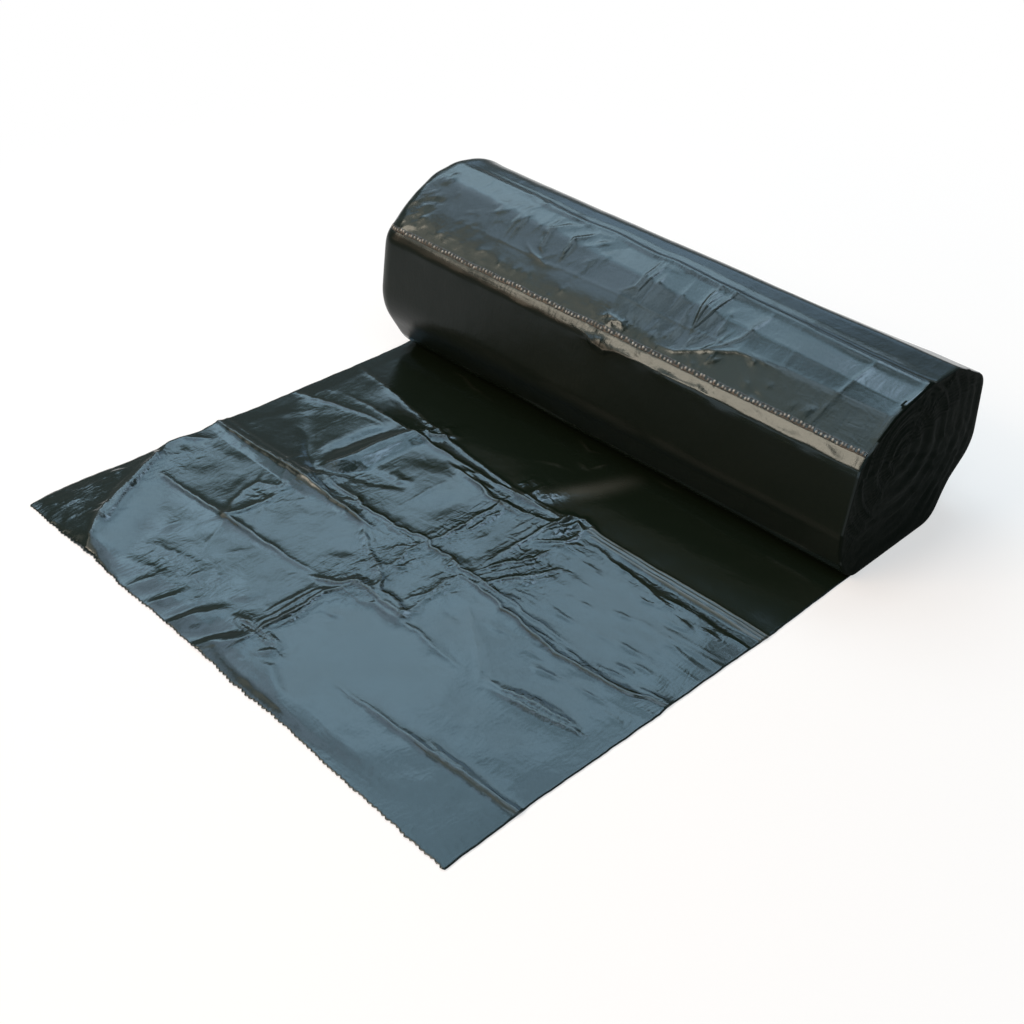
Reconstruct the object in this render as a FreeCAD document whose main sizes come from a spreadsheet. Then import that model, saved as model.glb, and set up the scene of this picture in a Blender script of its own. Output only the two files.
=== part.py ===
"""Roll of dog waste bags, lying on its side with its first bag run out flat in front of it.

The bags are one web of film: a flattened tube, welded and perforated once for each bag, and wound up
with no core. So the whole roll is one piece, bag_roll. X runs along the roll, from its left end to its
right end. Y runs from the torn edge of the first bag back towards the roll. Z is up. The sketches are
drawn with Y = 0 under the middle of the turns, and the finished piece is then placed so that the origin
is under the middle of the whole object, on the surface that it lies on. Lengths are in millimetres.
"""

import FreeCAD, Part

import math
import os

import Sketcher

Vector = FreeCAD.Vector

# Driving sizes: (name, value, what it is). They become the cells of the sheet called Sizes.
SIZES = [
    ("bag_width", 200.0, "width of the flattened tube, which is the length of the roll"),
    ("unrolled_length", 186.0, "torn edge of the first bag to the middle of the roll"),
    ("film_stack", 0.5, "thickness of the two plies of the bag that lies flat"),
    ("fold_root", 0.2, "how far a fold's foot is sunk into the film under it"),
    ("toe_radius", 3.0, "rounding where the front of the roll meets the floor"),
    ("heel_radius", 10.0, "rounding where the back of the roll meets the floor"),
    ("back_low_radius", 14.0, "rounding of the lower back"),
    ("back_top_radius", 12.0, "rounding of the upper back"),
    ("crest_radius", 8.0, "rounding of the crest"),
    ("shoulder_radius", 10.0, "rounding of the front shoulder"),
    ("ridge_radius", 3.0, "rounding of the ridge that carries the perforation"),
    ("belly_radius", 20.0, "rounding of the front belly"),
    ("winding_turns", 8.0, "turns of the groove that shows the winding on each end"),
    ("winding_start", 0.93, "outer end of the winding groove, as a share of the section"),
    ("winding_end", 0.15, "inner end of the winding groove, as a share of the section"),
    ("winding_gap", 0.025, "width of the winding groove, as a share of the section"),
    ("winding_depth", 1.2, "depth of the winding groove"),
    ("cut_pitch", 2.0, "one cut and one bridge of the perforation"),
    ("cut_length", 1.3, "length of one cut of the perforation"),
    ("cut_gape", 0.5, "how wide a cut of the perforation gapes"),
    ("cut_depth", 0.6, "depth of a cut of the perforation"),
    ("tooth_depth", 0.7, "depth of the teeth along the torn edge"),
]

# Corners of the roll's soft section before they are rounded, from the front round under the roll and
# up its back: (name, y and z at the left end, y and z at the right end). The roll is squashed, and
# more so at its right end.
CORNERS = [
    ("toe", -27.0, 0.0, -26.0, 0.0),
    ("heel", 11.0, 0.0, 11.0, 0.0),
    ("back_low", 37.0, 18.0, 36.0, 18.0),
    ("back_top", 34.0, 48.0, 35.0, 42.0),
    ("crest", 4.0, 65.0, 6.0, 58.0),
    ("shoulder", -12.0, 65.5, -4.0, 54.5),
    ("ridge", -36.0, 45.5, -28.0, 39.5),
    ("belly", -39.0, 22.0, -33.5, 20.0),
]

# The surfaces of film that folds lie on, each between two edges that run the whole width of the bag.
SURFACES = {
    "bag": ("torn_edge", "floor_line"),
    "front": ("belly", "ridge"),
    "slope": ("ridge", "shoulder"),
}

# Folds: (surface, half width, crest points). A crest point is its place across the bag, from 0 at the
# left edge to 1 at the right, its place between the surface's two edges, and its height in millimetres.
# A fold dies out at both ends.
FOLDS = {
    "pleat_by_roll_right": (
        "bag",
        1.6,
        [(0.64, 0.74, 0), (0.68, 0.745, 1.6), (0.84, 0.745, 1.4), (1.0, 0.74, 0)],
    ),
    "pleat_by_roll_middle": (
        "bag",
        3.0,
        [(0.28, 0.72, 0), (0.42, 0.72, 1.5), (0.52, 0.7, 2.5), (0.59, 0.715, 2.2), (0.65, 0.74, 0)],
    ),
    "crease_by_roll_left": (
        "bag",
        1.8,
        [(0.0, 0.82, 0), (0.12, 0.8, 0.9), (0.25, 0.775, 1.1), (0.4, 0.745, 0.9), (0.52, 0.725, 0)],
    ),
    "crease_left": (
        "bag",
        2.0,
        [(0.0, 0.45, 0), (0.05, 0.45, 1.6), (0.3, 0.45, 1.8), (0.39, 0.455, 1.2), (0.45, 0.44, 0)],
    ),
    "crease_middle": (
        "bag",
        1.4,
        [(0.29, 0.49, 0), (0.5, 0.49, 1.0), (0.74, 0.485, 0.9), (1.0, 0.485, 0)],
    ),
    "crease_right": (
        "bag",
        2.5,
        [(0.61, 0.455, 0), (0.68, 0.465, 1.6), (0.76, 0.455, 2.0), (0.9, 0.465, 1.7), (1.0, 0.485, 0)],
    ),
    "curl": (
        "bag",
        2.2,
        [(0.42, 0.445, 0), (0.47, 0.4, 1.5), (0.53, 0.37, 1.8),
         (0.56, 0.345, 2.0), (0.6, 0.335, 1.2), (0.63, 0.355, 0)],
    ),
    "second_crease_left": (
        "bag",
        1.8,
        [(0.07, 0.25, 0), (0.15, 0.255, 1.2), (0.25, 0.26, 1.5), (0.37, 0.27, 1.2), (0.48, 0.285, 0)],
    ),
    "second_crease_right": (
        "bag",
        1.5,
        [(0.54, 0.31, 0), (0.62, 0.31, 1.2), (0.72, 0.3, 0.9), (0.79, 0.305, 0)],
    ),
    "slanting_crease": ("bag", 1.5, [(0.79, 0.31, 0), (0.86, 0.33, 1.2), (0.94, 0.35, 0)]),
    "front_crease": (
        "bag",
        1.6,
        [(0.64, 0.12, 0), (0.8, 0.13, 1.0), (0.92, 0.145, 1.2), (1.0, 0.15, 0)],
    ),
    "spine_front": (
        "bag",
        2.6,
        [(0.515, 0.05, 0), (0.505, 0.12, 1.5), (0.505, 0.24, 2.0), (0.515, 0.31, 3.0), (0.53, 0.36, 0)],
    ),
    "spine_back": (
        "bag",
        3.0,
        [(0.53, 0.39, 0), (0.53, 0.46, 1.8), (0.525, 0.55, 1.8),
         (0.53, 0.67, 2.4), (0.535, 0.76, 1.5), (0.55, 0.82, 0)],
    ),
    "front_knot": ("bag", 1.8, [(0.44, 0.105, 0), (0.5, 0.105, 2.0), (0.565, 0.11, 0)]),
    "tall_fold_left": (
        "bag",
        5.0,
        [(0.245, 0.49, 0), (0.255, 0.59, 3.4), (0.265, 0.67, 4.0),
         (0.29, 0.74, 3.2), (0.32, 0.81, 2.0), (0.35, 0.88, 0)],
    ),
    "branch_to_the_right": (
        "bag",
        4.0,
        [(0.25, 0.495, 0), (0.29, 0.54, 1.6), (0.33, 0.56, 1.5), (0.38, 0.595, 0)],
    ),
    "branch_to_the_left": (
        "bag",
        4.5,
        [(0.24, 0.495, 0), (0.17, 0.54, 1.6), (0.1, 0.6, 1.3), (0.04, 0.64, 0)],
    ),
    "small_fold_left": (
        "bag",
        2.2,
        [(0.245, 0.265, 0), (0.26, 0.31, 1.5), (0.25, 0.39, 1.2), (0.245, 0.475, 0)],
    ),
    "tall_fold_right": (
        "bag",
        4.0,
        [(0.62, 0.345, 0), (0.605, 0.43, 2.5), (0.595, 0.53, 3.0),
         (0.605, 0.63, 3.0), (0.625, 0.7, 1.6), (0.64, 0.745, 0)],
    ),
    "strand_near": ("bag", 1.6, [(0.62, 0.5, 0), (0.645, 0.59, 1.5), (0.655, 0.68, 0)]),
    "strand_far": ("bag", 1.6, [(0.65, 0.49, 0), (0.685, 0.58, 1.8), (0.71, 0.65, 0)]),
    "cone_by_roll": (
        "bag",
        4.0,
        [(0.54, 0.74, 0), (0.57, 0.805, 3.0), (0.61, 0.87, 2.6), (0.655, 0.92, 0)],
    ),
    "knot_by_roll": ("bag", 2.2, [(0.62, 0.7, 0), (0.65, 0.74, 2.5), (0.685, 0.76, 0)]),
    "corner_fold": (
        "bag",
        4.0,
        [(0.0, 0.35, 0), (0.03, 0.28, 3.0), (0.07, 0.185, 4.0), (0.11, 0.095, 3.6), (0.16, 0.0, 0)],
    ),
    "thin_crease": ("bag", 1.2, [(0.69, 0.425, 0), (0.75, 0.355, 0.7), (0.82, 0.28, 0)]),
    "weld": (
        "front",
        1.0,
        [(0.2, 0.9, 0), (0.35, 0.8, 0.5), (0.48, 0.77, 0.7), (0.52, 0.86, 0.7),
         (0.7, 0.79, 0.7), (0.97, 0.78, 0.6), (1.0, 0.8, 0)],
    ),
    "weld_pucker": ("front", 1.5, [(0.47, 0.86, 0), (0.495, 0.8, 1.4), (0.52, 0.88, 0)]),
    "double_wrinkle_left": ("slope", 0.9, [(0.49, 0.35, 0), (0.488, 0.65, 0.8), (0.487, 0.95, 0)]),
    "double_wrinkle_right": ("slope", 0.9, [(0.503, 0.35, 0), (0.501, 0.65, 0.8), (0.5, 0.95, 0)]),
    "wrinkle_bundle_left": ("slope", 0.9, [(0.615, 0.1, 0), (0.61, 0.5, 0.9), (0.602, 0.95, 0)]),
    "wrinkle_bundle_middle": ("slope", 0.9, [(0.627, 0.1, 0), (0.622, 0.45, 1.0), (0.61, 0.95, 0)]),
    "wrinkle_bundle_right": ("slope", 0.9, [(0.63, 0.25, 0), (0.633, 0.6, 0.9), (0.636, 0.95, 0)]),
    "hooked_wrinkle": ("slope", 1.2, [(0.32, 0.3, 0), (0.325, 0.6, 0.9), (0.34, 0.95, 0)]),
}

doc = FreeCAD.newDocument("DogBagRoll")


# The sheet of sizes


def make_sheet():
    """A sheet called Sizes whose cells drive the model, and a dict of the same values."""
    sheet = doc.addObject("Spreadsheet::Sheet", "Sizes")
    cells = list(SIZES)
    for name, left_y, left_z, right_y, right_z in CORNERS:
        cells.append((f"left_{name}_y", left_y, f"left section, {name}, along Y"))
        cells.append((f"left_{name}_z", left_z, f"left section, {name}, height"))
        cells.append((f"right_{name}_y", right_y, f"right section, {name}, along Y"))
        cells.append((f"right_{name}_z", right_z, f"right section, {name}, height"))
    for row, (name, value, note) in enumerate(cells, start=1):
        sheet.set(f"A{row}", name)
        sheet.set(f"B{row}", str(value))
        sheet.setAlias(f"B{row}", name)
        sheet.set(f"C{row}", note)
    doc.recompute()
    return {name: float(value) for name, value, _ in cells}


SIZE = make_sheet()
HALF_WIDTH = SIZE["bag_width"] / 2
END_X = {"left": -HALF_WIDTH, "right": HALF_WIDTH}
END_SIGN = {"left": "-", "right": ""}


def corner(side, name):
    """A corner of one end's section, in that end's own plane."""
    return Vector(SIZE[f"{side}_{name}_y"], SIZE[f"{side}_{name}_z"], 0)


def section_corners(side):
    return [corner(side, name) for name, *_ in CORNERS]


def section_middle(side):
    corners = section_corners(side)
    return sum(corners, Vector()) * (1 / len(corners))


# Helpers for sketches


def origin_plane(body, role):
    return next(feature for feature in body.Origin.OriginFeatures if feature.Role == role)


def new_sketch(body, name, role):
    sketch = body.newObject("Sketcher::SketchObject", name)
    sketch.AttachmentSupport = (origin_plane(body, role), [""])
    sketch.MapMode = "FlatFace"
    return sketch


def end_sketch(body, name, side):
    """A sketch in the plane of one end of the roll."""
    sketch = new_sketch(body, name, "YZ_Plane")
    sketch.setExpression(".AttachmentOffset.Base.z", f"{END_SIGN[side]}Sizes.bag_width / 2")
    return sketch


def bind(sketch, constraint, cell):
    """Adds a constraint whose value is a cell of the sheet."""
    index = sketch.addConstraint(constraint)
    sketch.setExpression(f"Constraints[{index}]", f"Sizes.{cell}")


def draw_outline(sketch, points):
    lines = [Part.LineSegment(here, there) for here, there in zip(points, points[1:] + points[:1])]
    sketch.addGeometry(lines, False)


def rounding(side, name):
    """Where the arc at a corner starts, its middle and its end, and how far the arc cuts the corner."""
    names = [row[0] for row in CORNERS]
    i = names.index(name)
    here = corner(side, name)
    back = (corner(side, names[i - 1]) - here).normalize()
    on = (corner(side, names[(i + 1) % len(names)]) - here).normalize()
    half_turn = (math.pi - back.getAngle(on)) / 2
    radius = SIZE[f"{name}_radius"]
    tangent = radius * math.tan(half_turn)
    setback = radius * (1 / math.cos(half_turn) - 1)
    return here + back * tangent, here + (back + on).normalize() * setback, here + on * tangent, setback


# The roll


def draw_section(sketch, side):
    """The section of one end: straight stretches, and arcs that round the corners."""
    names = [row[0] for row in CORNERS]
    roundings = [rounding(side, name) for name in names]
    arcs, lines = [], []
    for i, (start, middle, end, _) in enumerate(roundings):
        next_start = roundings[(i + 1) % len(names)][0]
        arcs.append(sketch.addGeometry(Part.Arc(start, middle, end), False))
        lines.append(sketch.addGeometry(Part.LineSegment(end, next_start), False))
    for i, name in enumerate(names):
        following = arcs[(i + 1) % len(names)]
        sketch.addConstraint(Sketcher.Constraint("Tangent", arcs[i], 2, lines[i], 1))
        sketch.addConstraint(Sketcher.Constraint("Tangent", lines[i], 2, following, 1))
        bind(sketch, Sketcher.Constraint("Radius", arcs[i], SIZE[f"{name}_radius"]), f"{name}_radius")
        place = corner(side, name)
        point = sketch.addGeometry(Part.Point(place), True)
        sketch.addConstraint(Sketcher.Constraint("PointOnObject", point, 1, lines[i]))
        sketch.addConstraint(Sketcher.Constraint("PointOnObject", point, 1, lines[i - 1]))
        bind(sketch, Sketcher.Constraint("DistanceX", -1, 1, point, 1, place.x), f"{side}_{name}_y")
        bind(sketch, Sketcher.Constraint("DistanceY", -1, 1, point, 1, place.y), f"{side}_{name}_z")


def add_turns(body):
    """The wound turns as one solid, lofted from the left end's section to the right end's."""
    sketches = {}
    for side in ("left", "right"):
        sketches[side] = end_sketch(body, f"{side}_section", side)
        draw_section(sketches[side], side)
    turns = body.newObject("PartDesign::AdditiveLoft", "turns")
    turns.Profile = sketches["left"]
    turns.Sections = [(sketches["right"], [""])]
    turns.Ruled = True
    doc.recompute()


def spiral(side, first_share):
    """Points that wind in from first_share of the section: a corner's rounding, then a side, and so on."""
    middle = section_middle(side)
    stations = []
    names = [row[0] for row in CORNERS]
    for i, name in enumerate(names):
        start, top, end, _ = rounding(side, name)
        next_start = rounding(side, names[(i + 1) % len(names)])[0]
        stations += [(start + top) * 0.5, (top + end) * 0.5, (end + next_start) * 0.5]
    steps = int(SIZE["winding_turns"] * len(stations))
    drop = (SIZE["winding_start"] - SIZE["winding_end"]) / steps
    points = []
    for step in range(steps + 1):
        station = stations[step % len(stations)]
        points.append(middle + (station - middle) * (first_share - drop * step))
    return points


def add_winding_groove(body, side):
    """The edge of the wound web on one end, as a spiral groove."""
    sketch = end_sketch(body, f"{side}_winding", side)
    outer = spiral(side, SIZE["winding_start"])
    inner = spiral(side, SIZE["winding_start"] - SIZE["winding_gap"])
    draw_outline(sketch, outer + inner[::-1])
    groove = body.newObject("PartDesign::Pocket", f"{side}_winding_groove")
    groove.Profile = sketch
    groove.Reversed = side == "left"
    groove.setExpression("Length", "Sizes.winding_depth")
    doc.recompute()


# The bag that lies flat


def add_flat_bag(body):
    """The run of film from the torn edge to under the roll."""
    sketch = new_sketch(body, "flat_bag_outline", "XY_Plane")
    front, back = -SIZE["unrolled_length"], SIZE["left_heel_y"]
    places = [
        Vector(-HALF_WIDTH, front, 0),
        Vector(HALF_WIDTH, front, 0),
        Vector(HALF_WIDTH, back, 0),
        Vector(-HALF_WIDTH, back, 0),
    ]
    draw_outline(sketch, places)
    for i in range(4):
        sketch.addConstraint(Sketcher.Constraint("Coincident", i, 2, (i + 1) % 4, 1))
    for i, way in ((1, "Vertical"), (2, "Horizontal"), (3, "Vertical")):
        sketch.addConstraint(Sketcher.Constraint(way, i))
    bind(sketch, Sketcher.Constraint("DistanceX", 0, 1, 0, 2, 2 * HALF_WIDTH), "bag_width")
    sketch.addConstraint(Sketcher.Constraint("Symmetric", 0, 1, 0, 2, -2))
    bind(sketch, Sketcher.Constraint("DistanceY", 0, 1, -1, 1, -front), "unrolled_length")
    bind(sketch, Sketcher.Constraint("DistanceY", -1, 1, 2, 1, back), "left_heel_y")
    bag = body.newObject("PartDesign::Pad", "flat_bag")
    bag.Profile = sketch
    bag.setExpression("Length", "Sizes.film_stack")
    doc.recompute()


def cut_middles():
    """The middles of the perforation's cuts, from the left edge of the bag to the right."""
    pitch = SIZE["cut_pitch"]
    count = int(SIZE["bag_width"] / pitch)
    first = -(count - 1) * pitch / 2
    return [first + i * pitch for i in range(count)]


def add_torn_teeth(body):
    """Teeth along the torn edge, one for each bridge of the perforation."""
    sketch = new_sketch(body, "torn_edge", "XY_Plane")
    front, deep, half = -SIZE["unrolled_length"], SIZE["tooth_depth"], SIZE["cut_length"] / 2
    outline = [Vector(-HALF_WIDTH, front - deep, 0), Vector(-HALF_WIDTH, front, 0)]
    for middle in cut_middles():
        outline.append(Vector(middle - half, front, 0))
        outline.append(Vector(middle, front + deep, 0))
        outline.append(Vector(middle + half, front, 0))
    outline += [Vector(HALF_WIDTH, front, 0), Vector(HALF_WIDTH, front - deep, 0)]
    draw_outline(sketch, outline)
    teeth = body.newObject("PartDesign::Pocket", "torn_teeth")
    teeth.Profile = sketch
    teeth.Reversed = True
    teeth.setExpression("Length", "Sizes.film_stack")
    doc.recompute()


def make_perforation():
    """The cuts between the first bag and the next, along the ridge of the roll, as one comb."""
    ends = []
    for side in ("left", "right"):
        _, top, _, _ = rounding(side, "ridge")
        ends.append(Vector(END_X[side], top.x, top.y))
    along = (ends[1] - ends[0]).normalize()
    middle = (ends[0] + ends[1]) * 0.5
    inside = (section_middle("left") + section_middle("right")) * 0.5
    out = (middle - Vector(0, inside.x, inside.y)).normalize()
    deep, clear, half = out * -SIZE["cut_depth"], out * SIZE["cut_depth"], SIZE["cut_length"] / 2
    outline = []
    for place in cut_middles():
        start, end = middle + along * (place - half), middle + along * (place + half)
        outline += [start + clear, start + deep, end + deep, end + clear]
    outline += [outline[-1] + clear, outline[0] + clear]
    gape = along.cross(out) * SIZE["cut_gape"]
    comb = doc.addObject("Part::Feature", "perforation")
    comb.Shape = Part.Face(Part.makePolygon([*outline, outline[0]])).extrude(gape)
    return comb


# Folds


def surface_edge(side, name):
    """An edge of a surface of film, in one end's own plane."""
    if name == "torn_edge":
        return Vector(-SIZE["unrolled_length"], SIZE["film_stack"], 0)
    if name == "floor_line":
        return Vector(SIZE[f"{side}_toe_y"], SIZE["film_stack"], 0)
    return corner(side, name)


def film_point(surface, across, along, height):
    """A point at some height above a surface of film."""
    low_name, high_name = SURFACES[surface]
    point = Vector()
    for side, share in (("left", 1 - across), ("right", across)):
        low, high = surface_edge(side, low_name), surface_edge(side, high_name)
        run = (high - low).normalize()
        place = low + (high - low) * along + Vector(-run.y, run.x, 0) * height
        point += Vector(END_X[side], place.x, place.y) * share
    return point


def fold(surface, half_width, crest):
    """A fold as a tent: two rows of feet on the film, a crest between them, and a point at each end."""
    root = -SIZE["fold_root"]
    feet = [film_point(surface, across, along, root) for across, along, _ in crest]
    tops = [film_point(surface, *point) for point in crest]
    rows = {1: [feet[0]], -1: [feet[0]]}
    for i in range(1, len(crest) - 1):
        run = feet[i + 1] - feet[i - 1]
        aside = (tops[i] - feet[i]).cross(run).normalize() * half_width
        for hand in rows:
            rows[hand].append(feet[i] + aside * hand)
    faces = []
    last = len(crest) - 1
    for hand, row in rows.items():
        row.append(feet[last])
        for i in range(last):
            crests = tops[max(i, 1)], tops[min(i + 1, last - 1)]
            flank = [row[i], row[i + 1], crests[1], crests[0]]
            sole = [feet[i], feet[i + 1], row[i + 1], row[i]]
            for outline in (flank, sole):
                faces += split(outline)[::hand]
    solid = Part.makeSolid(Part.makeShell(faces))
    return solid if solid.Volume > 0 else solid.reversed()


def split(outline):
    """Triangles that fill an outline of four corners, without those that have no area."""
    a, b, c, d = outline
    triangles = []
    for corners in ((a, b, c), (a, c, d)):
        if (corners[1] - corners[0]).cross(corners[2] - corners[0]).Length > 1e-6:
            triangles.append(Part.Face(Part.makePolygon([*corners, corners[0]])))
    return triangles


def make_folds():
    """One object for each fold."""
    folds = []
    for name, (surface, half_width, crest) in FOLDS.items():
        feature = doc.addObject("Part::Feature", name)
        feature.Shape = fold(surface, half_width, crest)
        folds.append(feature)
    return folds


# Putting it together


def build():
    web = doc.addObject("PartDesign::Body", "web")
    add_turns(web)
    add_flat_bag(web)
    add_torn_teeth(web)
    add_winding_groove(web, "left")
    add_winding_groove(web, "right")
    perforated = doc.addObject("Part::Cut", "perforated_web")
    perforated.Base = web
    perforated.Tool = make_perforation()
    perforated.Refine = False
    roll = doc.addObject("Part::MultiFuse", "bag_roll")
    roll.Label = "bag_roll"
    roll.Shapes = [perforated, *make_folds()]
    roll.Refine = False
    doc.recompute()
    middle = roll.Shape.optimalBoundingBox(False, False).Center
    roll.Placement = FreeCAD.Placement(Vector(0, -middle.y, 0), FreeCAD.Rotation())
    doc.recompute()
    return [roll]


def check(parts):
    """Stops before anything is written if an object failed or a part isn't one sound solid."""
    failed = [obj.Name for obj in doc.Objects if "Invalid" in obj.State or "Error" in obj.State]
    if failed:
        raise RuntimeError(f"these objects failed: {failed}")
    for part in parts:
        shape = part.Shape
        if shape.isNull() or not shape.isValid() or len(shape.Solids) != 1:
            raise RuntimeError(f"{part.Label} isn't one sound solid: {len(shape.Solids)} solids")


def export(parts):
    os.makedirs("parts", exist_ok=True)
    for part in parts:
        part.Shape.exportStep(f"parts/{part.Label}.step")
        box = part.Shape.optimalBoundingBox(False, False)
        print(
            f"{part.Label}: {len(part.Shape.Solids)} solid, {len(part.Shape.Faces)} faces, "
            f"{part.Shape.Volume:.0f} mm3, X {box.XMin:.2f} to {box.XMax:.2f}, "
            f"Y {box.YMin:.2f} to {box.YMax:.2f}, Z {box.ZMin:.2f} to {box.ZMax:.2f}"
        )


parts = build()
check(parts)
export(parts)
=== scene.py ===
# %% [markdown]
# # A roll of dog waste bags
#
# A roll of waste bags is one long flattened tube of thin black film. A machine welds it across and
# perforates it once for each bag, then winds it up with no core. Here the roll lies on its side and its
# first bag is run out flat in front of it.
#
# The lesson makes three meshes of that one web: the first bag, where it lies flat, the wound roll, and
# the fine row of torn bridges along the roll's front ridge. Thin film gets its look from two things:
# sharp creases that it remembers from being folded and wound, and the way its gloss mirrors the studio.
# So most of the work goes into relief and light.

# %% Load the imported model
import math

import bpy
import numpy as np
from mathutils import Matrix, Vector


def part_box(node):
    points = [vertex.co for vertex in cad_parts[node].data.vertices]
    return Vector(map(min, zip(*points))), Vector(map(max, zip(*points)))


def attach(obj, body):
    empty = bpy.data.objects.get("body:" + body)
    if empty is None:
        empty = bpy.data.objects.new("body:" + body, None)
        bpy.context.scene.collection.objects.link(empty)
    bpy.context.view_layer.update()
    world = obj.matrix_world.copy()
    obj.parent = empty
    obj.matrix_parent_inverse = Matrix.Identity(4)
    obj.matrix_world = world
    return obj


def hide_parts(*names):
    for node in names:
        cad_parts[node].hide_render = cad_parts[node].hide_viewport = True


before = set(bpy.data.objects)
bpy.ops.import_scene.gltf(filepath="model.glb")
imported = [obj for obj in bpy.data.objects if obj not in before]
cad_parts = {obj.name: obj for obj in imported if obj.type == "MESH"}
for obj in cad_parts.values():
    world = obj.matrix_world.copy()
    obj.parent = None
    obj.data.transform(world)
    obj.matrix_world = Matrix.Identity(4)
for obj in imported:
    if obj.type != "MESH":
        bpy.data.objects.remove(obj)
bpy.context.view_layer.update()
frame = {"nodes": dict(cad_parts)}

print("packed solids:", ", ".join(frame["nodes"]))

# %% [markdown]
# ## The places that everything is built from
#
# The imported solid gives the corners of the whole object. All other sizes are those of the real film and
# are written in millimetres, because that is how a maker thinks of them. `MM` turns them into metres.

# %% Sizes
MM = 0.001

low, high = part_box("bag_roll")
BAG_WIDTH = (high.x - low.x) / MM  # the flattened tube, which is as wide as the roll is long
UNROLLED = 186.0  # torn edge of the first bag to the middle of the roll
FOOT = 160.0  # torn edge to where the roll meets the flat bag
FILM_STACK = 0.1  # the height of the two plies of the bag where they lie flat

print(f"the film is {BAG_WIDTH:.1f} mm wide and the object is {(high.z - low.z) / MM:.1f} mm tall")

# %% [markdown]
# ## Making a mesh whose vertices a formula places
#
# Film has no straight parts to extrude or bevel: each spot of it has its own height. The way here is the
# one a sculptor would take: start with a plain grid primitive, fine enough for the smallest crease, and
# then move every vertex. `numpy` moves them all at once, which is quick even for a hundred thousand.


# %% A grid primitive and its vertices
def read_places(piece):
    places = np.zeros(len(piece.data.vertices) * 3)
    piece.data.vertices.foreach_get("co", places)
    return places.reshape(-1, 3)


def write_places(piece, x, y, z):
    """Moves the vertices to places in millimetres from the left end of the torn edge."""
    places = np.stack([x * MM + low.x, y * MM + low.y, z * MM], axis=1)
    piece.data.vertices.foreach_set("co", places.astype(np.float32).ravel())
    piece.data.update()


def plain_grid(name, columns, rows):
    """A grid with that many vertices each way, and the column and row number of each vertex."""
    bpy.ops.object.select_all(action="DESELECT")
    bpy.ops.mesh.primitive_grid_add(x_subdivisions=columns - 1, y_subdivisions=rows - 1, size=2)
    piece = bpy.context.active_object
    piece.name = name
    piece.data.name = name
    places = read_places(piece)
    column = np.rint((places[:, 0] + 1) / 2 * (columns - 1)).astype(int)
    row = np.rint((places[:, 1] + 1) / 2 * (rows - 1)).astype(int)
    return piece, column, row


# %% [markdown]
# A sculptor's brush has a falloff, and so does every formula here. Two of them are enough. `fade` grows
# evenly from 0 to 1 over a distance. `bell` is 1 in the middle and dies away softly on both sides.


# %% Two falloffs
def fade(distance, over):
    return np.clip(distance / over, 0, 1)


def bell(distance, width):
    return np.exp(-((distance / width) ** 2))


print(f"halfway out, a fade is {fade(0.5, 1):.2f} and a bell is {bell(0.5, 1):.2f}")

# %% [markdown]
# ## Creases
#
# When film is folded and opened again it stays sharp along the fold and relaxes on both sides of it. A
# height that falls off exponentially with the distance from a line has just that shape: a sharp crest
# and long hollow flanks. A modelling tool could bevel an edge for each crease, but there are hundreds,
# and they cross. Heights can simply be added up.
#
# A crease is a list of points, each with its place and its height in millimetres, and a width. A crease
# can lean, so that one flank is steeper, as on a pleat that was pressed over. A soft one is a swell with
# a rounded top instead of a sharp one.

# %% The height of one crease
SHARP, BROAD = 0.5, 0.22  # the shares of a crease's height in its sharp crest and in its broad hollow
HOLLOW = 6  # how many times wider the hollow is than the crest
# the pale line along a hard fold is partly stress whitening and partly a painted highlight
WHITE_LINE = 0.36  # half the width of the line where the film itself is bent hard, in millimetres
SOFT = True


def nearest_on_line(across, along, points):
    """For each place, the distance from a line of points, the line's height there, and the side."""
    best = np.full(across.shape, np.inf)
    height = np.zeros(across.shape)
    side = np.zeros(across.shape)
    for (x0, y0, h0), (x1, y1, h1) in zip(points, points[1:]):
        run_x, run_y = x1 - x0, y1 - y0
        length = math.hypot(run_x, run_y)
        share = np.clip(((across - x0) * run_x + (along - y0) * run_y) / length**2, 0, 1)
        away_x, away_y = across - x0 - share * run_x, along - y0 - share * run_y
        distance = np.hypot(away_x, away_y)
        nearer = distance < best
        best = np.where(nearer, distance, best)
        height = np.where(nearer, h0 + (h1 - h0) * share, height)
        side = np.where(nearer, (run_x * away_y - run_y * away_x) / length, side)
    return best, height, side


def crease_relief(across, along, points, width, lean=0.0, soft=False):
    """The height that one crease gives to the film at each place, and how hard it is folded there."""
    distance, height, side = nearest_on_line(across, along, points)
    flank = width * (1 + lean * np.tanh(side / (0.3 * width)))
    if soft:
        return height * bell(distance, flank), 0 * height
    # how hard the film is folded along the crest, which the finish paints as stress whitening and
    # highlight
    whitening_and_highlight = np.abs(height) * bell(distance, WHITE_LINE)
    crest, hollow = np.exp(-distance / flank), np.exp(-distance / (HOLLOW * flank))
    return height * (SHARP * crest + BROAD * hollow), whitening_and_highlight


print(f"a crease of 1 mm really stands {SHARP + BROAD:.2f} mm high")

# %% [markdown]
# Where film is bent hard it turns a little white along the fold, and the finish paints a highlight there
# as well. So a list of creases is read twice: once for the height, and once for how hard the film is
# folded, which the finish turns into that pale line of whitening and painted highlight.


# %% The height and the folds of many creases
def relief(across, along, creases, strength=1.0):
    """The height of a list of creases: (points, width), and then lean and soft where they are set."""
    total = np.zeros(across.shape)
    for points, width, *rest in creases:
        total += crease_relief(across, along, points, width, *rest)[0]
    return strength * total


def hard_folds(across, along, creases):
    """How hard the film is folded at each place, from 0 to 1."""
    most = np.zeros(across.shape)
    for points, width, *rest in creases:
        most = np.maximum(most, crease_relief(across, along, points, width, *rest)[1])
    return np.clip(most, 0, 1)


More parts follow.
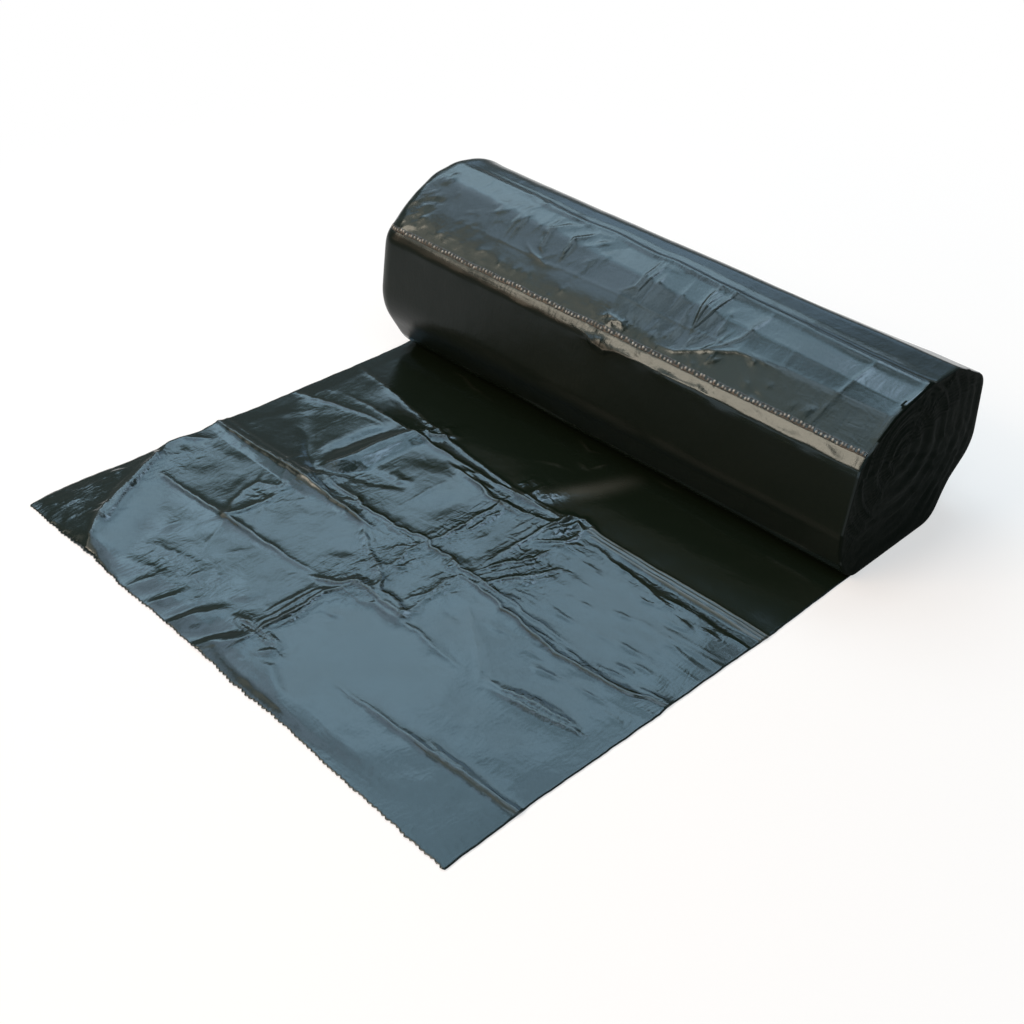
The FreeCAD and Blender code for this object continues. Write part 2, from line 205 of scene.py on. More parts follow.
# %% [markdown]
# A pleat can also lie over to one side. Then it isn't a crest but a flat band with steep sides. A smooth
# step at both sides gives the band, and a slope across it lets its right side lie lower.

# %% A pleat that lies over
STEEPNESS = 0.42  # how wide the steep sides of a band are, in millimetres


def band_relief(across, along, points, half, drop):
    """The height of a pleat that lies over: a flat, steep-sided band whose top drops to its right."""
    distance, height, side = nearest_on_line(across, along, points)
    top = height * (1 + drop * np.clip(side / half, -1, 1))
    return top / (1 + np.exp((distance - half) / STEEPNESS))


# %% [markdown]
# Small creases are too many to place one by one. They are strewn over a patch by seeded chance: each
# patch has its own seed, so it comes out the same on every run, and a change to one patch doesn't move
# the creases of the others.


# %% Patches of small creases
def scattered_creases(seed, count, middle, spread, angle, length, height, width):
    """Small creases strewn over a patch: their middles, directions, lengths and heights all vary."""
    draw = np.random.default_rng(seed)
    creases = []
    for _ in range(count):
        x = middle[0] + spread[0] * draw.uniform(-1, 1)
        y = middle[1] + spread[1] * draw.uniform(-1, 1)
        turn = math.radians(angle[0] + angle[1] * draw.uniform(-1, 1))
        half = 0.5 * length * draw.uniform(0.5, 1.2)
        step_x, step_y = half * math.cos(turn), half * math.sin(turn)
        bend = 0.12 * half * draw.uniform(-1, 1)
        top = height * draw.uniform(0.4, 1.2) * draw.choice((1, 1, -0.6))  # one in three is a valley
        points = [
            (x - step_x, y - step_y, 0),
            (x - bend * math.sin(turn), y + bend * math.cos(turn), top),
            (x + step_x, y + step_y, 0),
        ]
        creases.append((points, width * draw.uniform(0.7, 1.3)))
    return creases


# %% [markdown]
# Two more kinds of chance. Film that lies on a table is never quite flat: `smooth_noise` is its gentle
# swell. And a crease in film is never a clean curve: it runs straight and then kinks. `kinked` shifts
# every place a little to and fro before the creases are drawn, so that each of them comes out jagged.


# %% Swell and kinks
def smooth_noise(seed, across, along, size, octaves=3):
    """Gentle undulation from -1 to 1, as wide as size in millimetres."""
    draw = np.random.default_rng(seed)
    total, weight, sum_weight = np.zeros(across.shape), 1.0, 0.0
    for _ in range(octaves):
        for _ in range(5):
            turn, phase = draw.uniform(0, 2 * math.pi, 2)
            wave = 2 * math.pi / (size * draw.uniform(0.8, 1.6))
            total += weight * np.sin(wave * (across * math.cos(turn) + along * math.sin(turn)) + phase)
        sum_weight += weight * 3
        size, weight = size / 2.1, weight * 0.45
    return total / sum_weight


def kinked_noise(seed, across, along, size):
    """Undulation from about -1 to 1 that is made of straight runs with kinks between them."""
    draw = np.random.default_rng(seed)
    total = np.zeros(across.shape)
    for _ in range(6):
        turn, phase = draw.uniform(0, 2 * math.pi, 2)
        wave = 2 * math.pi / (size * draw.uniform(0.7, 1.8))
        total += np.arcsin(np.sin(wave * (across * math.cos(turn) + along * math.sin(turn)) + phase))
    return total / 4.7


def kinked(across, along, amount):
    """The places, shifted a little to and fro, so that a crease that passes there is jagged."""
    return (
        across + amount * (kinked_noise(41, across, along, 8) + 0.4 * kinked_noise(42, across, along, 3)),
        along + amount * (kinked_noise(43, across, along, 8) + 0.4 * kinked_noise(44, across, along, 3)),
    )


# %% [markdown]
# ## The first bag
#
# The first bag lies flat between the torn edge and the foot of the roll. Its strongest creases cross it
# from side to side, where the bag was folded to be packed. Each is drawn one by one, because the eye
# knows at once when the large creases of film are random. Places are in millimetres from the left edge
# and from the torn edge.
#
# The pleat near the roll is the straightest of them: in its right half it is three fine lines side by
# side, which are bent hardest. A painted highlight makes them the palest, and they have a list of their
# own for that.

# %% The creases that cross the first bag
PLEAT = [
    # the pleat near the roll, in its right half: three fine lines side by side
    ([(133, 119.8, 0.8), (150, 119.7, 0.9), (200, 119.8, 0.9)], 0.4, -0.3),
    ([(133, 118.5, 0.6), (165, 118.3, 0.7), (200, 118.4, 0.7)], 0.3),
    ([(136, 117.1, 0.6), (165, 116.9, 0.7), (200, 117.0, 0.7)], 0.3),
]

CROSS_CREASES = [
    # the hollow in front of the pleat
    ([(146, 114.8, 0), (165, 114.6, -0.7), (185, 114.8, -0.9), (200, 115.0, -1.0)], 1.7, 0, SOFT),
    # the same pleat further left, where it wanders
    ([(14, 115.2, 0), (30, 115.8, 0.7), (50, 115.6, 0.8), (58, 115.8, 0.9), (90, 114.9, 0.8),
      (104, 115.8, 1.2), (124, 117.2, 1.0), (126, 117.5, 0)], 1.0, -0.3),
    ([(90, 118.3, 0.2), (104, 116.9, 1.0), (124, 118.6, 0.7), (127, 119, 0)], 0.6),
    ([(2, 130.8, 0.5), (24, 128.5, 0.7), (50, 124.2, 0.8), (67, 121.2, 0.8), (90, 118.6, 0.8),
      (104, 116.3, 0.5)], 0.8, -0.4),
    ([(74, 112.4, 0), (82, 111.6, 0.8), (93, 110.6, 0.9), (99, 108.0, 1.1), (107, 109.4, 1.1),
      (124, 113.4, 0.8), (128, 114, 0)], 0.8, -0.2),
    ([(76, 114.6, 0), (88, 112.5, 0.5), (97, 109.6, 0.7), (108, 108.2, 0.6), (116, 110.0, 0)], 0.6),
    ([(1, 103, 0.5), (10, 104.6, 0.7), (19, 107.4, 0.7), (33, 111.2, 0.5), (42, 112.5, 0)], 1.0, 0.3),
    # the middle crease: a strong pleat on the left, finer on the right
    ([(0, 71.0, 1.4), (30, 71.3, 1.8), (60, 71.8, 2.0), (76, 71.6, 1.7), (90, 71.2, 0)], 1.4, 0.35),
    ([(0, 74.8, 0.4), (30, 74.0, 0.5), (60, 73.6, 0.4), (66, 73.8, 0)], 0.7),
    ([(56, 77.4, 0.5), (70, 77.6, 1.2), (74, 76.2, 1.1), (90, 77.3, 0.9), (100, 79.0, 0.8),
      (124, 78.3, 0.8), (150, 77.0, 0.5), (174, 77.4, 0)], 0.8, 0.3),
    ([(74, 74.2, 0), (84, 75.6, 0.4), (100, 76.4, 0.3), (104, 76.6, 0)], 0.5),
    ([(66, 72.5, 0), (70, 75.4, 1.0), (74, 77.6, 0)], 0.8),
    ([(122, 75.6, 0.4), (130, 75.4, 0.8), (137, 75.2, 0.9), (142, 73.6, 1.1), (146, 74.4, 1.0),
      (152, 72.9, 1.1), (165, 71.6, 1.0), (189, 74.2, 1.0), (196, 77.6, 0.9), (200, 78.4, 0.6)],
     0.9, 0.35),
    # the curl that drops from the middle crease to the knot right of the centre
    ([(80, 71.6, 0.3), (86, 68.0, 0.8), (92, 64.6, 0.9), (104, 59.4, 0.9), (108, 56.4, 1.0),
      (112, 54.0, 1.1), (123, 53.0, 0.9), (127, 57.0, 0)], 0.9, -0.4),
    ([(84, 71.0, 0.2), (92, 67.2, 0.4), (96, 64.4, 0)], 0.6),
    ([(96, 64.0, 0), (98, 71.0, 0.5), (103, 75.8, 0.4), (108, 77.4, 0)], 0.8),
    # the crease near the front
    ([(14, 39.3, 0), (18, 39.6, 0.9), (49, 41.8, 1.3), (70, 43.0, 0.9), (90, 44.5, 0.3)], 0.9, 0.35),
    ([(90, 42.6, 0), (95, 44.6, 0.9), (99, 46.6, 1.2), (104, 51.0, 1.3), (108, 52.0, 1.1),
      (114, 50.9, 1.0), (124, 51.4, 0.9), (127, 52.4, 0)], 0.9, 0.3),
    ([(108, 47.0, 0), (114, 49.0, 0.6), (134, 50.0, 0.5), (144, 48.6, 0.4), (155, 49.3, 0)], 0.9, -0.3),
    ([(158, 50.0, 0), (170, 52.2, 1.0), (185, 55.2, 0.9), (191, 56.0, 0)], 0.6, -0.3),
    ([(160, 48.6, 0), (174, 50.8, 0.9), (190, 54.0, 0.7), (194, 55.2, 0)], 0.5, -0.3),
    ([(162, 51.9, 0), (176, 54.6, 0.7), (186, 57.2, 0)], 0.5),
    ([(130, 70.6, 0), (142, 62.0, 0.35), (154, 54.2, 0.4), (162, 45.6, 0)], 0.6),
    # the crease by the torn edge, and fine lines beyond the middle crease on the right
    ([(124, 19.4, 0), (150, 21.0, 0.6), (169, 22.0, 1.1), (185, 23.4, 1.3), (200, 24.1, 1.4)],
     0.8, 0.3),
    ([(164, 24.2, 0), (172, 23.8, 0.7), (182, 24.6, 0.4), (190, 25.0, 0)], 0.5),
    ([(138, 115.0, 0), (150, 113.0, 0.5), (160, 112.4, 0.3), (166, 110.4, 0.5), (180, 108.6, 0)],
     0.6, -0.3),
    ([(170, 111.6, 0), (180, 112.6, 0.3), (190, 112.0, 0)], 0.6),
    ([(170, 98.0, 0), (185, 99.2, 0.25), (200, 100.6, 0.2)], 0.8),
    ([(160, 86.0, 0), (180, 87.5, 0.2), (196, 88.0, 0)], 1.0),
]

print(f"{len(PLEAT) + len(CROSS_CREASES)} creases cross the bag")

# %% [markdown]
# Other creases run along the bag. One bundle follows its middle, a second, straight one lies right of it
# and ends in a knot at the pleat, and some finer ones meet at a point in its left half.

# %% The creases that run along the first bag
LENGTHWISE_CREASES = [
    # along the middle of the bag
    ([(101, 3, 0), (101.5, 12, 0.6), (101, 20, 1.2), (101.5, 31, 1.5), (100.5, 41, 1.0),
      (104, 50, 0.5)], 0.9, 0.4),
    ([(98.5, 20, 0), (98.6, 30, 0.8), (98.2, 40, 0.6), (99.5, 44, 0)], 0.6),
    ([(96.0, 24, 0), (96.4, 33, 0.5), (96.2, 39, 0.3), (96, 43, 0)], 0.6),
    ([(103.4, 20, 0), (103.6, 28, 0.6), (103.2, 36, 0.4), (103.5, 42, 0)], 0.5),
    ([(103, 80, 0.4), (104, 88, 1.1), (103.6, 96, 0.9), (104.6, 104, 1.0), (103.5, 112, 0.5)], 0.9),
    ([(107, 86, 0), (107.4, 94, 0.8), (106.4, 101, 0.6), (108, 108, 0)], 0.7),
    ([(101, 56, 0), (103.4, 64, 0.5), (102.2, 72, 0.7), (103, 79, 0.3)], 0.8),
    # right of the middle: the straight bundle that ends in a knot
    ([(122.6, 80, 0.2), (123.0, 95, 0.8), (122.8, 108, 1.0), (124.4, 115, 1.2), (124.6, 119, 0.8)],
     0.9, 0.4),
    ([(119.0, 96, 0), (119.4, 104, 0.4), (120.2, 112, 0.3), (120.6, 115, 0)], 0.7),
    ([(116.4, 98, 0), (117.0, 106, 0.4), (117.2, 112, 0)], 0.8),
    ([(120.4, 56, 0), (121.2, 64, 0.6), (120.8, 70, 0.6), (121.6, 76, 0)], 0.8),
    ([(123.0, 52, 0.4), (123.2, 58, 0.5), (122.6, 70, 0.3), (123, 78, 0)], 0.6),
    # left of the middle
    ([(48.8, 42.2, 0.8), (51.0, 50.0, 1.0), (51.4, 57.0, 0.8), (49.4, 64.0, 0.5), (49.2, 70.4, 0.3)],
     1.0, 0.4),
    ([(48.4, 42.6, 0.6), (44.0, 48.0, 0.7), (41.6, 54.0, 0.5), (41.0, 60.0, 0.4), (36, 67, 0)],
     1.0, -0.3),
    ([(41, 60, 0.3), (46, 62, 0.4), (48, 67, 0.2)], 0.8),
    ([(41, 56, 0.2), (49, 57, 0.3), (56, 57, 0)], 0.7),
    ([(50.4, 57.6, 0.3), (56, 50, 0.3), (62, 44, 0)], 0.5),
    ([(51, 40.5, 0.3), (56, 31, 0.3), (62, 24, 0)], 0.5),
    ([(42, 70.5, 0.2), (46, 66, 0.3), (49, 60, 0)], 0.5),
    ([(38.2, 80, 0.2), (38.0, 76, 0.4), (38.8, 72, 0.2)], 0.5),
    ([(54, 80, 0.2), (56, 76, 0.3), (57, 72, 0)], 0.5),
    ([(82.6, 82, 0), (82.4, 95, 0.25), (82.6, 110, 0)], 0.6),
]

print(f"{len(LENGTHWISE_CREASES)} creases run along the bag")

# %% [markdown]
# Between the middle crease and the roll the film stands up in taller folds, with soft valleys at their
# feet. Here too are the fan of strands right of the centre, the small folds close to the roll, the
# eye-shaped pucker by the torn edge, and the ridge that cuts off the front left corner.

# %% The tall folds and the odd ones
TALL_FOLDS = [
    # a fine crease on the left band
    ([(53.0, 88, 0), (54.6, 98, 0.25), (54.8, 108, 0.2), (56.0, 114, 0)], 0.6),
    ([(54.6, 121, 0), (58, 118.4, 1.0), (62, 121.0, 1.1), (64.5, 124.6, 0.6), (67, 126, 0)], 1.0),
    ([(56, 123, 0), (60, 125.4, 0.6), (65, 124.6, 0)], 0.8),
    # the valleys that meet at its foot
    ([(16, 98, 0), (24, 92, -0.6), (33, 87, -0.9), (41, 81.5, -1.0), (47.5, 78.6, -0.9)], 3.4, 0, SOFT),
    ([(48.6, 78.4, -0.9), (53, 81.5, -1.3), (57, 85, -1.3), (66, 88.5, -1.0), (76, 93, 0)],
     2.6, 0.3, SOFT),
    ([(44, 82, 0), (43, 92, -0.8), (44, 104, -1.0), (46, 111, -0.4)], 2.6, 0, SOFT),
    ([(66, 96, 0), (72, 94, 0.5), (76, 97, 0)], 2.0, 0, SOFT),
    # the foot of the right band, near the roll
    ([(107, 117, 0.3), (107.4, 121.5, 1.0), (106.8, 125, 0.8), (108.5, 128, 0)], 0.8),
    ([(110, 118, 0.2), (110.5, 122, 0.6), (112.5, 126, 0)], 0.7),
    # the knot where the right bundle meets the pleat
    ([(123.6, 116, 0.6), (125.0, 119.6, 1.6), (128.5, 121.4, 1.7), (132.5, 121.0, 1.4),
      (136.5, 119.8, 0.4)], 1.0, -0.3),
    ([(125, 121.5, 0.2), (128, 119.0, 0.9), (132, 117.4, 0.8), (132.6, 112, 0.4), (131, 107, 0)], 0.9),
    ([(124.6, 106, 0.2), (126.5, 112, 0.8), (128, 117.5, 0.6)], 1.6, 0, SOFT),
    ([(123.5, 101, 0), (127, 104.6, 0.8), (131.5, 109, 0.9), (133, 114, 0.4)], 0.9, 0.3),
    # the fan of strands right of the centre
    ([(123.0, 78.0, 0.2), (126.5, 86, 0.9), (130.5, 95, 0.8), (132.0, 103, 0.3)], 0.8, 0.4),
    ([(125.6, 77.6, 0.2), (129.5, 86, 0.6), (133.5, 94, 0.5), (134, 100, 0)], 0.7, 0.3),
    ([(129.0, 76.6, 0.2), (133.6, 85, 0.9), (138.0, 93, 0.8), (140.5, 99, 0.5), (144, 99.5, 0)],
     0.8, 0.4),
    ([(132.0, 79, 0), (137.0, 86.5, 0.6), (141.5, 94, 0.5), (142.5, 100, 0)], 0.7, 0.3),
    ([(126, 101.5, 0), (131, 106, 0.5), (136, 111.5, 0.4), (139, 114, 0)], 0.8),
    # small folds close to the roll
    ([(30, 153.6, 0), (38, 153.2, 0.6), (44, 151.2, 0.6), (58, 150.0, 0)], 0.5, -0.3),
    ([(94, 154.4, 0), (99, 152.6, 0.8), (102, 151.4, 0.9), (106, 153.4, 0)], 0.5, -0.3),
    ([(92, 134, 0), (100, 138, 0.5), (108, 139, 0)], 0.8, 0.2),
    ([(109, 143, 0), (111, 147.5, 0.8), (112, 151, 0)], 0.6, 0.2),
    ([(103, 143.5, 0), (107, 143.6, 0.7), (111, 142.8, 0)], 0.6),
    ([(128, 155.4, 0), (134, 155.0, 0.5), (140, 155.6, 0)], 0.6),
    # the right fold, which lies near the roll
    ([(107.5, 118, 0.5), (110.5, 123, 0.9), (115, 131, 0.6), (121, 139, 0.4), (126, 146, 0)],
     3.4, 0, SOFT),
    # the eye-shaped pucker near the torn edge
    ([(90, 16.4, 0), (96, 18.0, 0.9), (101, 17.6, 0.3), (107, 18.4, 0.9), (113, 18.2, 0)], 0.8),
    ([(90, 16.2, 0), (97, 15.2, 0.8), (101.5, 15.8, 0.5), (107, 16.6, 0.7), (113, 18.0, 0)], 0.7),
    ([(93, 16.8, 0), (101, 16.6, -0.9), (110, 17.6, 0)], 1.0),
    # the ridge that cuts off the front left corner, where the film slopes down
    ([(2.6, 46, 0.3), (8, 38.4, 0.9), (14, 29, 1.0), (20.5, 17, 1.0), (30, 5, 0.6)], 0.6, 0.4),
    ([(6.0, 44, 0), (12.6, 34, 0.6), (18, 25, 0.8), (24.5, 15.6, 0.5), (28, 12, 0)], 0.5),
    ([(4.0, 41.6, 0), (10.4, 32, 0.5), (16, 22.6, 0.6), (20, 16, 0)], 0.4),
    ([(0.5, 44, 0.3), (4, 43.8, 1.0), (9, 43.4, 0)], 0.6),
    ([(18.4, 13.6, 0), (20.6, 16.4, 1.2), (23.5, 12.6, 1.1), (28, 14.6, 0)], 0.7),
    ([(19.6, 10.2, 0), (22.4, 13.0, 0.8), (25.4, 9.4, 0.7), (31, 6.0, 0)], 0.6),
    ([(1.4, 57.6, 0.6), (5, 60.4, 0.7), (8, 63.8, 0)], 0.9),
    ([(2.4, 26, 0), (4.4, 29.6, 0.7), (5.0, 33, 0)], 1.2),
]

BANDS = [
    # the points, half the width and the drop of each pleat that lies over
    ([(50.5, 78.5, 0.2), (53.6, 84, 0.7), (54.6, 92, 0.8), (54.4, 102, 0.8), (55.2, 111, 0.7),
      (57.6, 117, 0.6), (60.5, 121.5, 0.5), (64, 127, 0.2), (68, 134, 0)], 4.2, 1.0),
]

print(f"{len(TALL_FOLDS)} folds and puckers, and {len(BANDS)} pleat that lies over")

# %% [markdown]
# Not all that the film does is sharp. Where it was torn off, rounded folds run in from the edge. A tongue
# of film that runs towards the roll is a painted highlight: it is drawn like a soft crease, but it only
# turns the film pale and doesn't raise it. And between the creases the film swells in places. These are
# the soft kind of crease, with a rounded top.

# %% Folds at the torn edge, the painted highlight of the tongue and the swells
EDGE_FOLDS = [
    # folds that run in from the torn edge, left of the middle
    ([(58, 0, 0.3), (60, 8, 0.4), (61, 15, 0)], 3.0, -0.3, SOFT),
    ([(69, 0, 0.4), (72, 8, 0.5), (73, 15, 0)], 3.0, -0.3, SOFT),
    ([(81, 0, 0.9), (83.5, 8, 0.9), (86, 14, 0.6), (87, 19, 0)], 3.6, -0.35, SOFT),
    ([(94.5, 0, 1.2), (97, 7, 1.1), (100, 13, 0.6), (101, 17, 0)], 4.0, -0.35, SOFT),
    ([(108, 10, 0), (111, 15, 0.5), (118, 15, 0)], 2.0, -0.3, SOFT),
]

TONGUE_HIGHLIGHT = [
    # painted highlight: a pale tongue that runs towards the roll, which whitens the film without raising
    # it
    ([(110, 122, 0.3), (116, 131, 1.2), (121, 141, 1.0), (126, 154, 0)], 3.6, 0, SOFT),
]

SOFT_SWELLS = [
    ([(70, 4, 0.4), (72, 12, 0.6), (71, 16, 0)], 2.0, 0.3, SOFT),
    ([(77, 3, 0.5), (78, 11, 0.5), (78, 16, 0)], 1.6, 0.3, SOFT),
    ([(82, 3, 0.3), (82.5, 11, 0.6), (81.6, 15, 0)], 1.4, 0.3, SOFT),
    ([(92, 3, -0.5), (96, 10, -0.8), (99, 15, -0.3)], 2.0, 0, SOFT),
    ([(96, 2, 0.6), (100, 9, 0.4), (101, 14, 0)], 1.4, 0.3, SOFT),
    ([(110, 8, 0.3), (116, 11, 0.8), (126, 7, 0.5), (130, 5, 0)], 2.2, -0.3, SOFT),
    ([(41, 20, 0), (50, 19, 0.6), (62, 22, 0.4), (70, 21, 0)], 2.2, -0.3, SOFT),
    ([(45, 8, 0), (56, 11.6, 0.6), (66, 11.4, 0.3), (72, 14, 0)], 1.8, -0.3, SOFT),
    ([(42, 21, 0), (41, 27, 0.4), (43, 33, 0)], 1.4, 0.2, SOFT),
    ([(82, 20, 0), (86, 24, 0.5), (88, 30, 0)], 2.4, 0.3, SOFT),
    ([(64, 30, 0), (67, 35, 0.3), (70, 40, 0)], 1.6, 0, SOFT),
    ([(110, 38, 0), (124, 38.6, 0.4), (132, 41.5, 0)], 2.4, 0.3, SOFT),
    ([(104, 36, 0), (110, 37.5, 0.6), (114, 40, 0)], 1.6, 0.3, SOFT),
    ([(56, 63, 0), (64, 60, 0.5), (70, 62, 0)], 2.4, 0, SOFT),
    ([(34, 62, 0), (38, 55, 0.5), (42, 47, 0)], 2.2, 0.2, SOFT),
    ([(84, 52, 0), (92, 56, 0.5), (97, 50, 0)], 2.6, 0, SOFT),
    ([(92, 86, 0), (93, 95, -0.5), (93, 106, 0)], 3.0, 0, SOFT),
    ([(112, 84, 0), (113.5, 92, 0.5), (112.5, 100, 0)], 2.0, 0.3, SOFT),
    ([(8, 84, 0), (12, 92, 0.7), (10, 99, 0)], 3.4, 0, SOFT),
    ([(20, 84, 0), (23, 91, 0.5), (19, 97, 0)], 2.6, 0, SOFT),
    ([(8, 60, 0), (22, 62, 0.4), (34, 64, 0)], 3.0, 0, SOFT),
    ([(56, 101, 0), (70, 103, 0.4), (84, 100, 0)], 4.0, 0, SOFT),
    ([(84, 146, 0), (92, 148.5, 0.5), (99, 146, 0)], 2.2, 0, SOFT),
]
SWELL_STRENGTH = 0.34

print(f"{len(EDGE_FOLDS)} folds at the torn edge and {len(SOFT_SWELLS)} swells")

# %% [markdown]
# Around the crossings the film is crumpled. Fifteen small patches of strewn creases follow the large
# ones, three wide ones give the whole bag its fine lines, and the last crumples the front left corner.

# %% The crumpled patches of the first bag
CRUMPLED_PATCHES = [
    # seed, count, middle, spread, direction and its spread in degrees, length, height, width
    (11, 26, (104.5, 96), (4.5, 17), (88, 14), 11, 0.34, 0.55),
    (12, 22, (102.5, 66), (5.5, 12), (80, 40), 9, 0.30, 0.55),
    (13, 16, (102, 52), (7.0, 6), (60, 60), 8, 0.34, 0.55),
    (14, 16, (101, 32), (5.0, 13), (90, 10), 10, 0.26, 0.45),
    (15, 18, (132, 91), (10, 13), (66, 9), 13, 0.26, 0.5),
    (16, 14, (121, 66), (5, 11), (85, 18), 11, 0.24, 0.6),
    (17, 14, (118, 98), (5, 15), (90, 5), 14, 0.18, 0.5),
    (18, 12, (170, 111), (30, 3.5), (0, 7), 16, 0.22, 0.6),
    (19, 12, (104, 112.5), (22, 4), (2, 16), 14, 0.34, 0.6),
    (20, 12, (105, 123), (6, 5), (70, 50), 6, 0.34, 0.6),
    (21, 14, (112, 77.5), (22, 2.5), (0, 20), 9, 0.26, 0.5),
    (22, 10, (50, 62), (9, 12), (75, 40), 10, 0.22, 0.7),
    (23, 10, (60, 17), (18, 8), (20, 40), 9, 0.20, 0.9),
    (24, 12, (58, 120), (6, 7), (60, 40), 7, 0.34, 0.7),
    (25, 10, (8, 50), (6, 12), (60, 50), 8, 0.30, 0.8),
    (26, 50, (100, 65), (98, 58), (0, 90), 14, 0.08, 0.5),
    (27, 36, (100, 65), (98, 58), (90, 14), 22, 0.08, 0.5),
    (28, 84, (163, 88), (36, 28), (3, 6), 15, 0.4, 0.55),
    (30, 30, (8, 16), (10, 16), (60, 60), 8, 0.3, 0.6),
]

print(f"{sum(patch[1] for patch in CRUMPLED_PATCHES)} small creases in {len(CRUMPLED_PATCHES)} patches")

# %% [markdown]
# The finest crumpling is smaller than the mesh can hold. The finish draws it as bumps, and has to know
# where the film is crumpled. Each blot is a middle, a width and a length in millimetres, and a strength.
# The result is kept on the vertices as a named attribute, which a material can read. It follows the
# surface, as paint would, and needs no image.

# %% Where the first bag is crumpled
BAG_CRUMPLE = [
    (104, 96, 7, 20, 0.9),
    (102, 66, 9, 15, 1.0),
    (102, 50, 12, 7, 0.9),
    (101, 30, 5, 14, 0.8),
    (132, 91, 13, 15, 0.9),
    (121, 68, 6, 12, 0.7),
    (112, 112, 26, 6, 0.8),
    (101, 17, 14, 4, 0.7),
    (56, 121, 10, 8, 0.7),
    (112, 77, 26, 4, 0.7),
    (70, 74, 30, 4, 0.5),
    (50, 60, 8, 12, 0.5),
    (62, 16, 24, 12, 0.4),
    (12, 40, 8, 26, 0.5),
    (170, 112, 32, 5, 0.5),
    (175, 74, 28, 5, 0.4),
    (175, 53, 20, 4, 0.4),
    (108, 124, 8, 8, 0.8),
    (58, 84, 18, 8, 0.5),
    (20, 108, 24, 10, 0.35),
    (7, 14, 12, 16, 0.6),
]


def crumple_at(across, along, blots):
    """How crumpled the film is: the strongest of some soft blots, and a little everywhere."""
    amount = np.full(across.shape, 0.12)
    for x, y, wide, tall, strength in blots:
        away = ((across - x) / wide) ** 2 + ((along - y) / tall) ** 2
        amount = np.maximum(amount, strength * np.exp(-away))
    return amount


def spread(piece, name, amount):
    """Keeps an amount on the vertices, where the finish can read it by that name."""
    kept = piece.data.attributes.new(name, "FLOAT", "POINT")
    kept.data.foreach_set("value", amount.astype(np.float32))


print(f"{len(BAG_CRUMPLE)} crumpled blots")

# %% [markdown]
# The torn edge and the long sides of the bag aren't dead straight either. The sides wander by a
# millimetre or three, and the torn edge has a tooth for each bridge of the perforation, or for two where
# they tore together. A few points for each side and a straight line between them are enough.

# %% The outline of the first bag
TOOTH_PITCH = 1.8  # one tooth of the torn edge, in millimetres


def left_side(along):
    """How far the left side lies in from a straight line."""
    wander = np.interp(
        along,
        [0, 10, 22, 30, 37, 46, 55, 63, 70, 80, 98, 115, 130, 150, 160],
        [0.3, -0.8, 0.4, 1.8, 3.0, 3.5, 2.1, 2.7, 1.6, 1.9, 2.0, 2.2, 2.6, 2.8, 2.0],
    )
    return wander + 0.25 * smooth_noise(3, along, 0 * along, 9)


def right_side(along):
    """How far the right side lies in from a straight line: below zero, so it stands out a little."""
    wander = np.interp(
        along,
        [0, 25, 28, 50, 75, 78, 110, 119, 150],
        [-0.4, -0.2, 0.0, -0.6, -1.2, -0.8, -1.4, -1.8, -1.4],
    )
    return wander + 0.12 * smooth_noise(4, along, 0 * along, 7)


def torn_edge(across):
    """How far the torn edge lies in from a straight line."""
    wander = np.interp(
        across,
        [0, 10, 22, 34, 60, 90, 100, 112, 130, 150, 165, 200],
        [0.6, 0.4, 0.8, 1.2, 0.4, 1.0, 0.9, 0.1, 0.8, 0.4, 0.0, -0.2],
    )
    return wander + 0.3 * kinked_noise(46, across, 0 * across, 6)


def teeth(across):
    """How far in each cut of the perforation reaches between its torn bridges."""
    tooth = np.abs((across / TOOTH_PITCH) % 1 - 0.5) * 2
    ragged = 0.5 + 0.5 * smooth_noise(5, across, 0 * across, 14)
    return (0.25 + 0.5 * ragged) * np.clip(tooth * 1.6 - 0.5, 0, 1)


def bag_outline(across, along):
    """The places of the bag's film, drawn in or out near its sides and its torn edge."""
    near_left = np.clip(1 - across / 25, 0, 1) ** 2
    near_right = np.clip(1 - (BAG_WIDTH - across) / 15, 0, 1) ** 2
    near_edge, in_teeth = np.clip(1 - along / 12, 0, 1) ** 2, np.clip(1 - along / 1.4, 0, 1)
    x = across + left_side(along) * near_left - right_side(along) * near_right
    return x, along + torn_edge(across) * near_edge + teeth(across) * in_teeth


print(f"the torn edge has {BAG_WIDTH / TOOTH_PITCH:.0f} teeth")

# %% [markdown]
# Three parts of the bag lie out of level. Its front left corner is a flat facet that falls away from a
# ridge. Behind the middle crease, the left part leans back towards the left side. And the torn edge is
# rolled up in its right half. Each tips the film by a degree or two, which is nothing to the touch, but
# gloss shows it at once: the film there mirrors another part of the studio.


# %% The parts that lie out of level
def corner_slope(across, along):
    """The front left corner is a flat facet that falls away from a ridge, and so does the film inside."""
    beyond = (34.5 - across - 0.68 * along) / 1.21  # how far past the ridge, towards the corner
    outer = np.clip(1 - beyond / 26, 0, 1)
    inner = np.exp(beyond / 9)
    return 2.6 * np.where(beyond > 0, outer, inner) - 0.1


def lifted_corner(across, along):
    """Behind its middle crease, the left part of the film leans back towards the left side."""
    lean = 0.034 * (0.82 * across - 0.57 * (along - 78))
    return np.clip(lean, 0, 2) * (fade(along - 66.5, 4.8) * fade(122 - along, 8) * fade(60 - across, 10))


def rolled_edge(across, along):
    """The torn edge curls up right of its middle."""
    rolled = np.interp(across, [98, 105, 116, 130, 143, 152], [0, 0.8, 1.1, 0.9, 0.3, 0])
    return rolled * fade(along, 3.6) ** 1.3 * bell(along, 15)


print(f"the corner's ridge stands {corner_slope(34.5, 0.0):.1f} mm high")


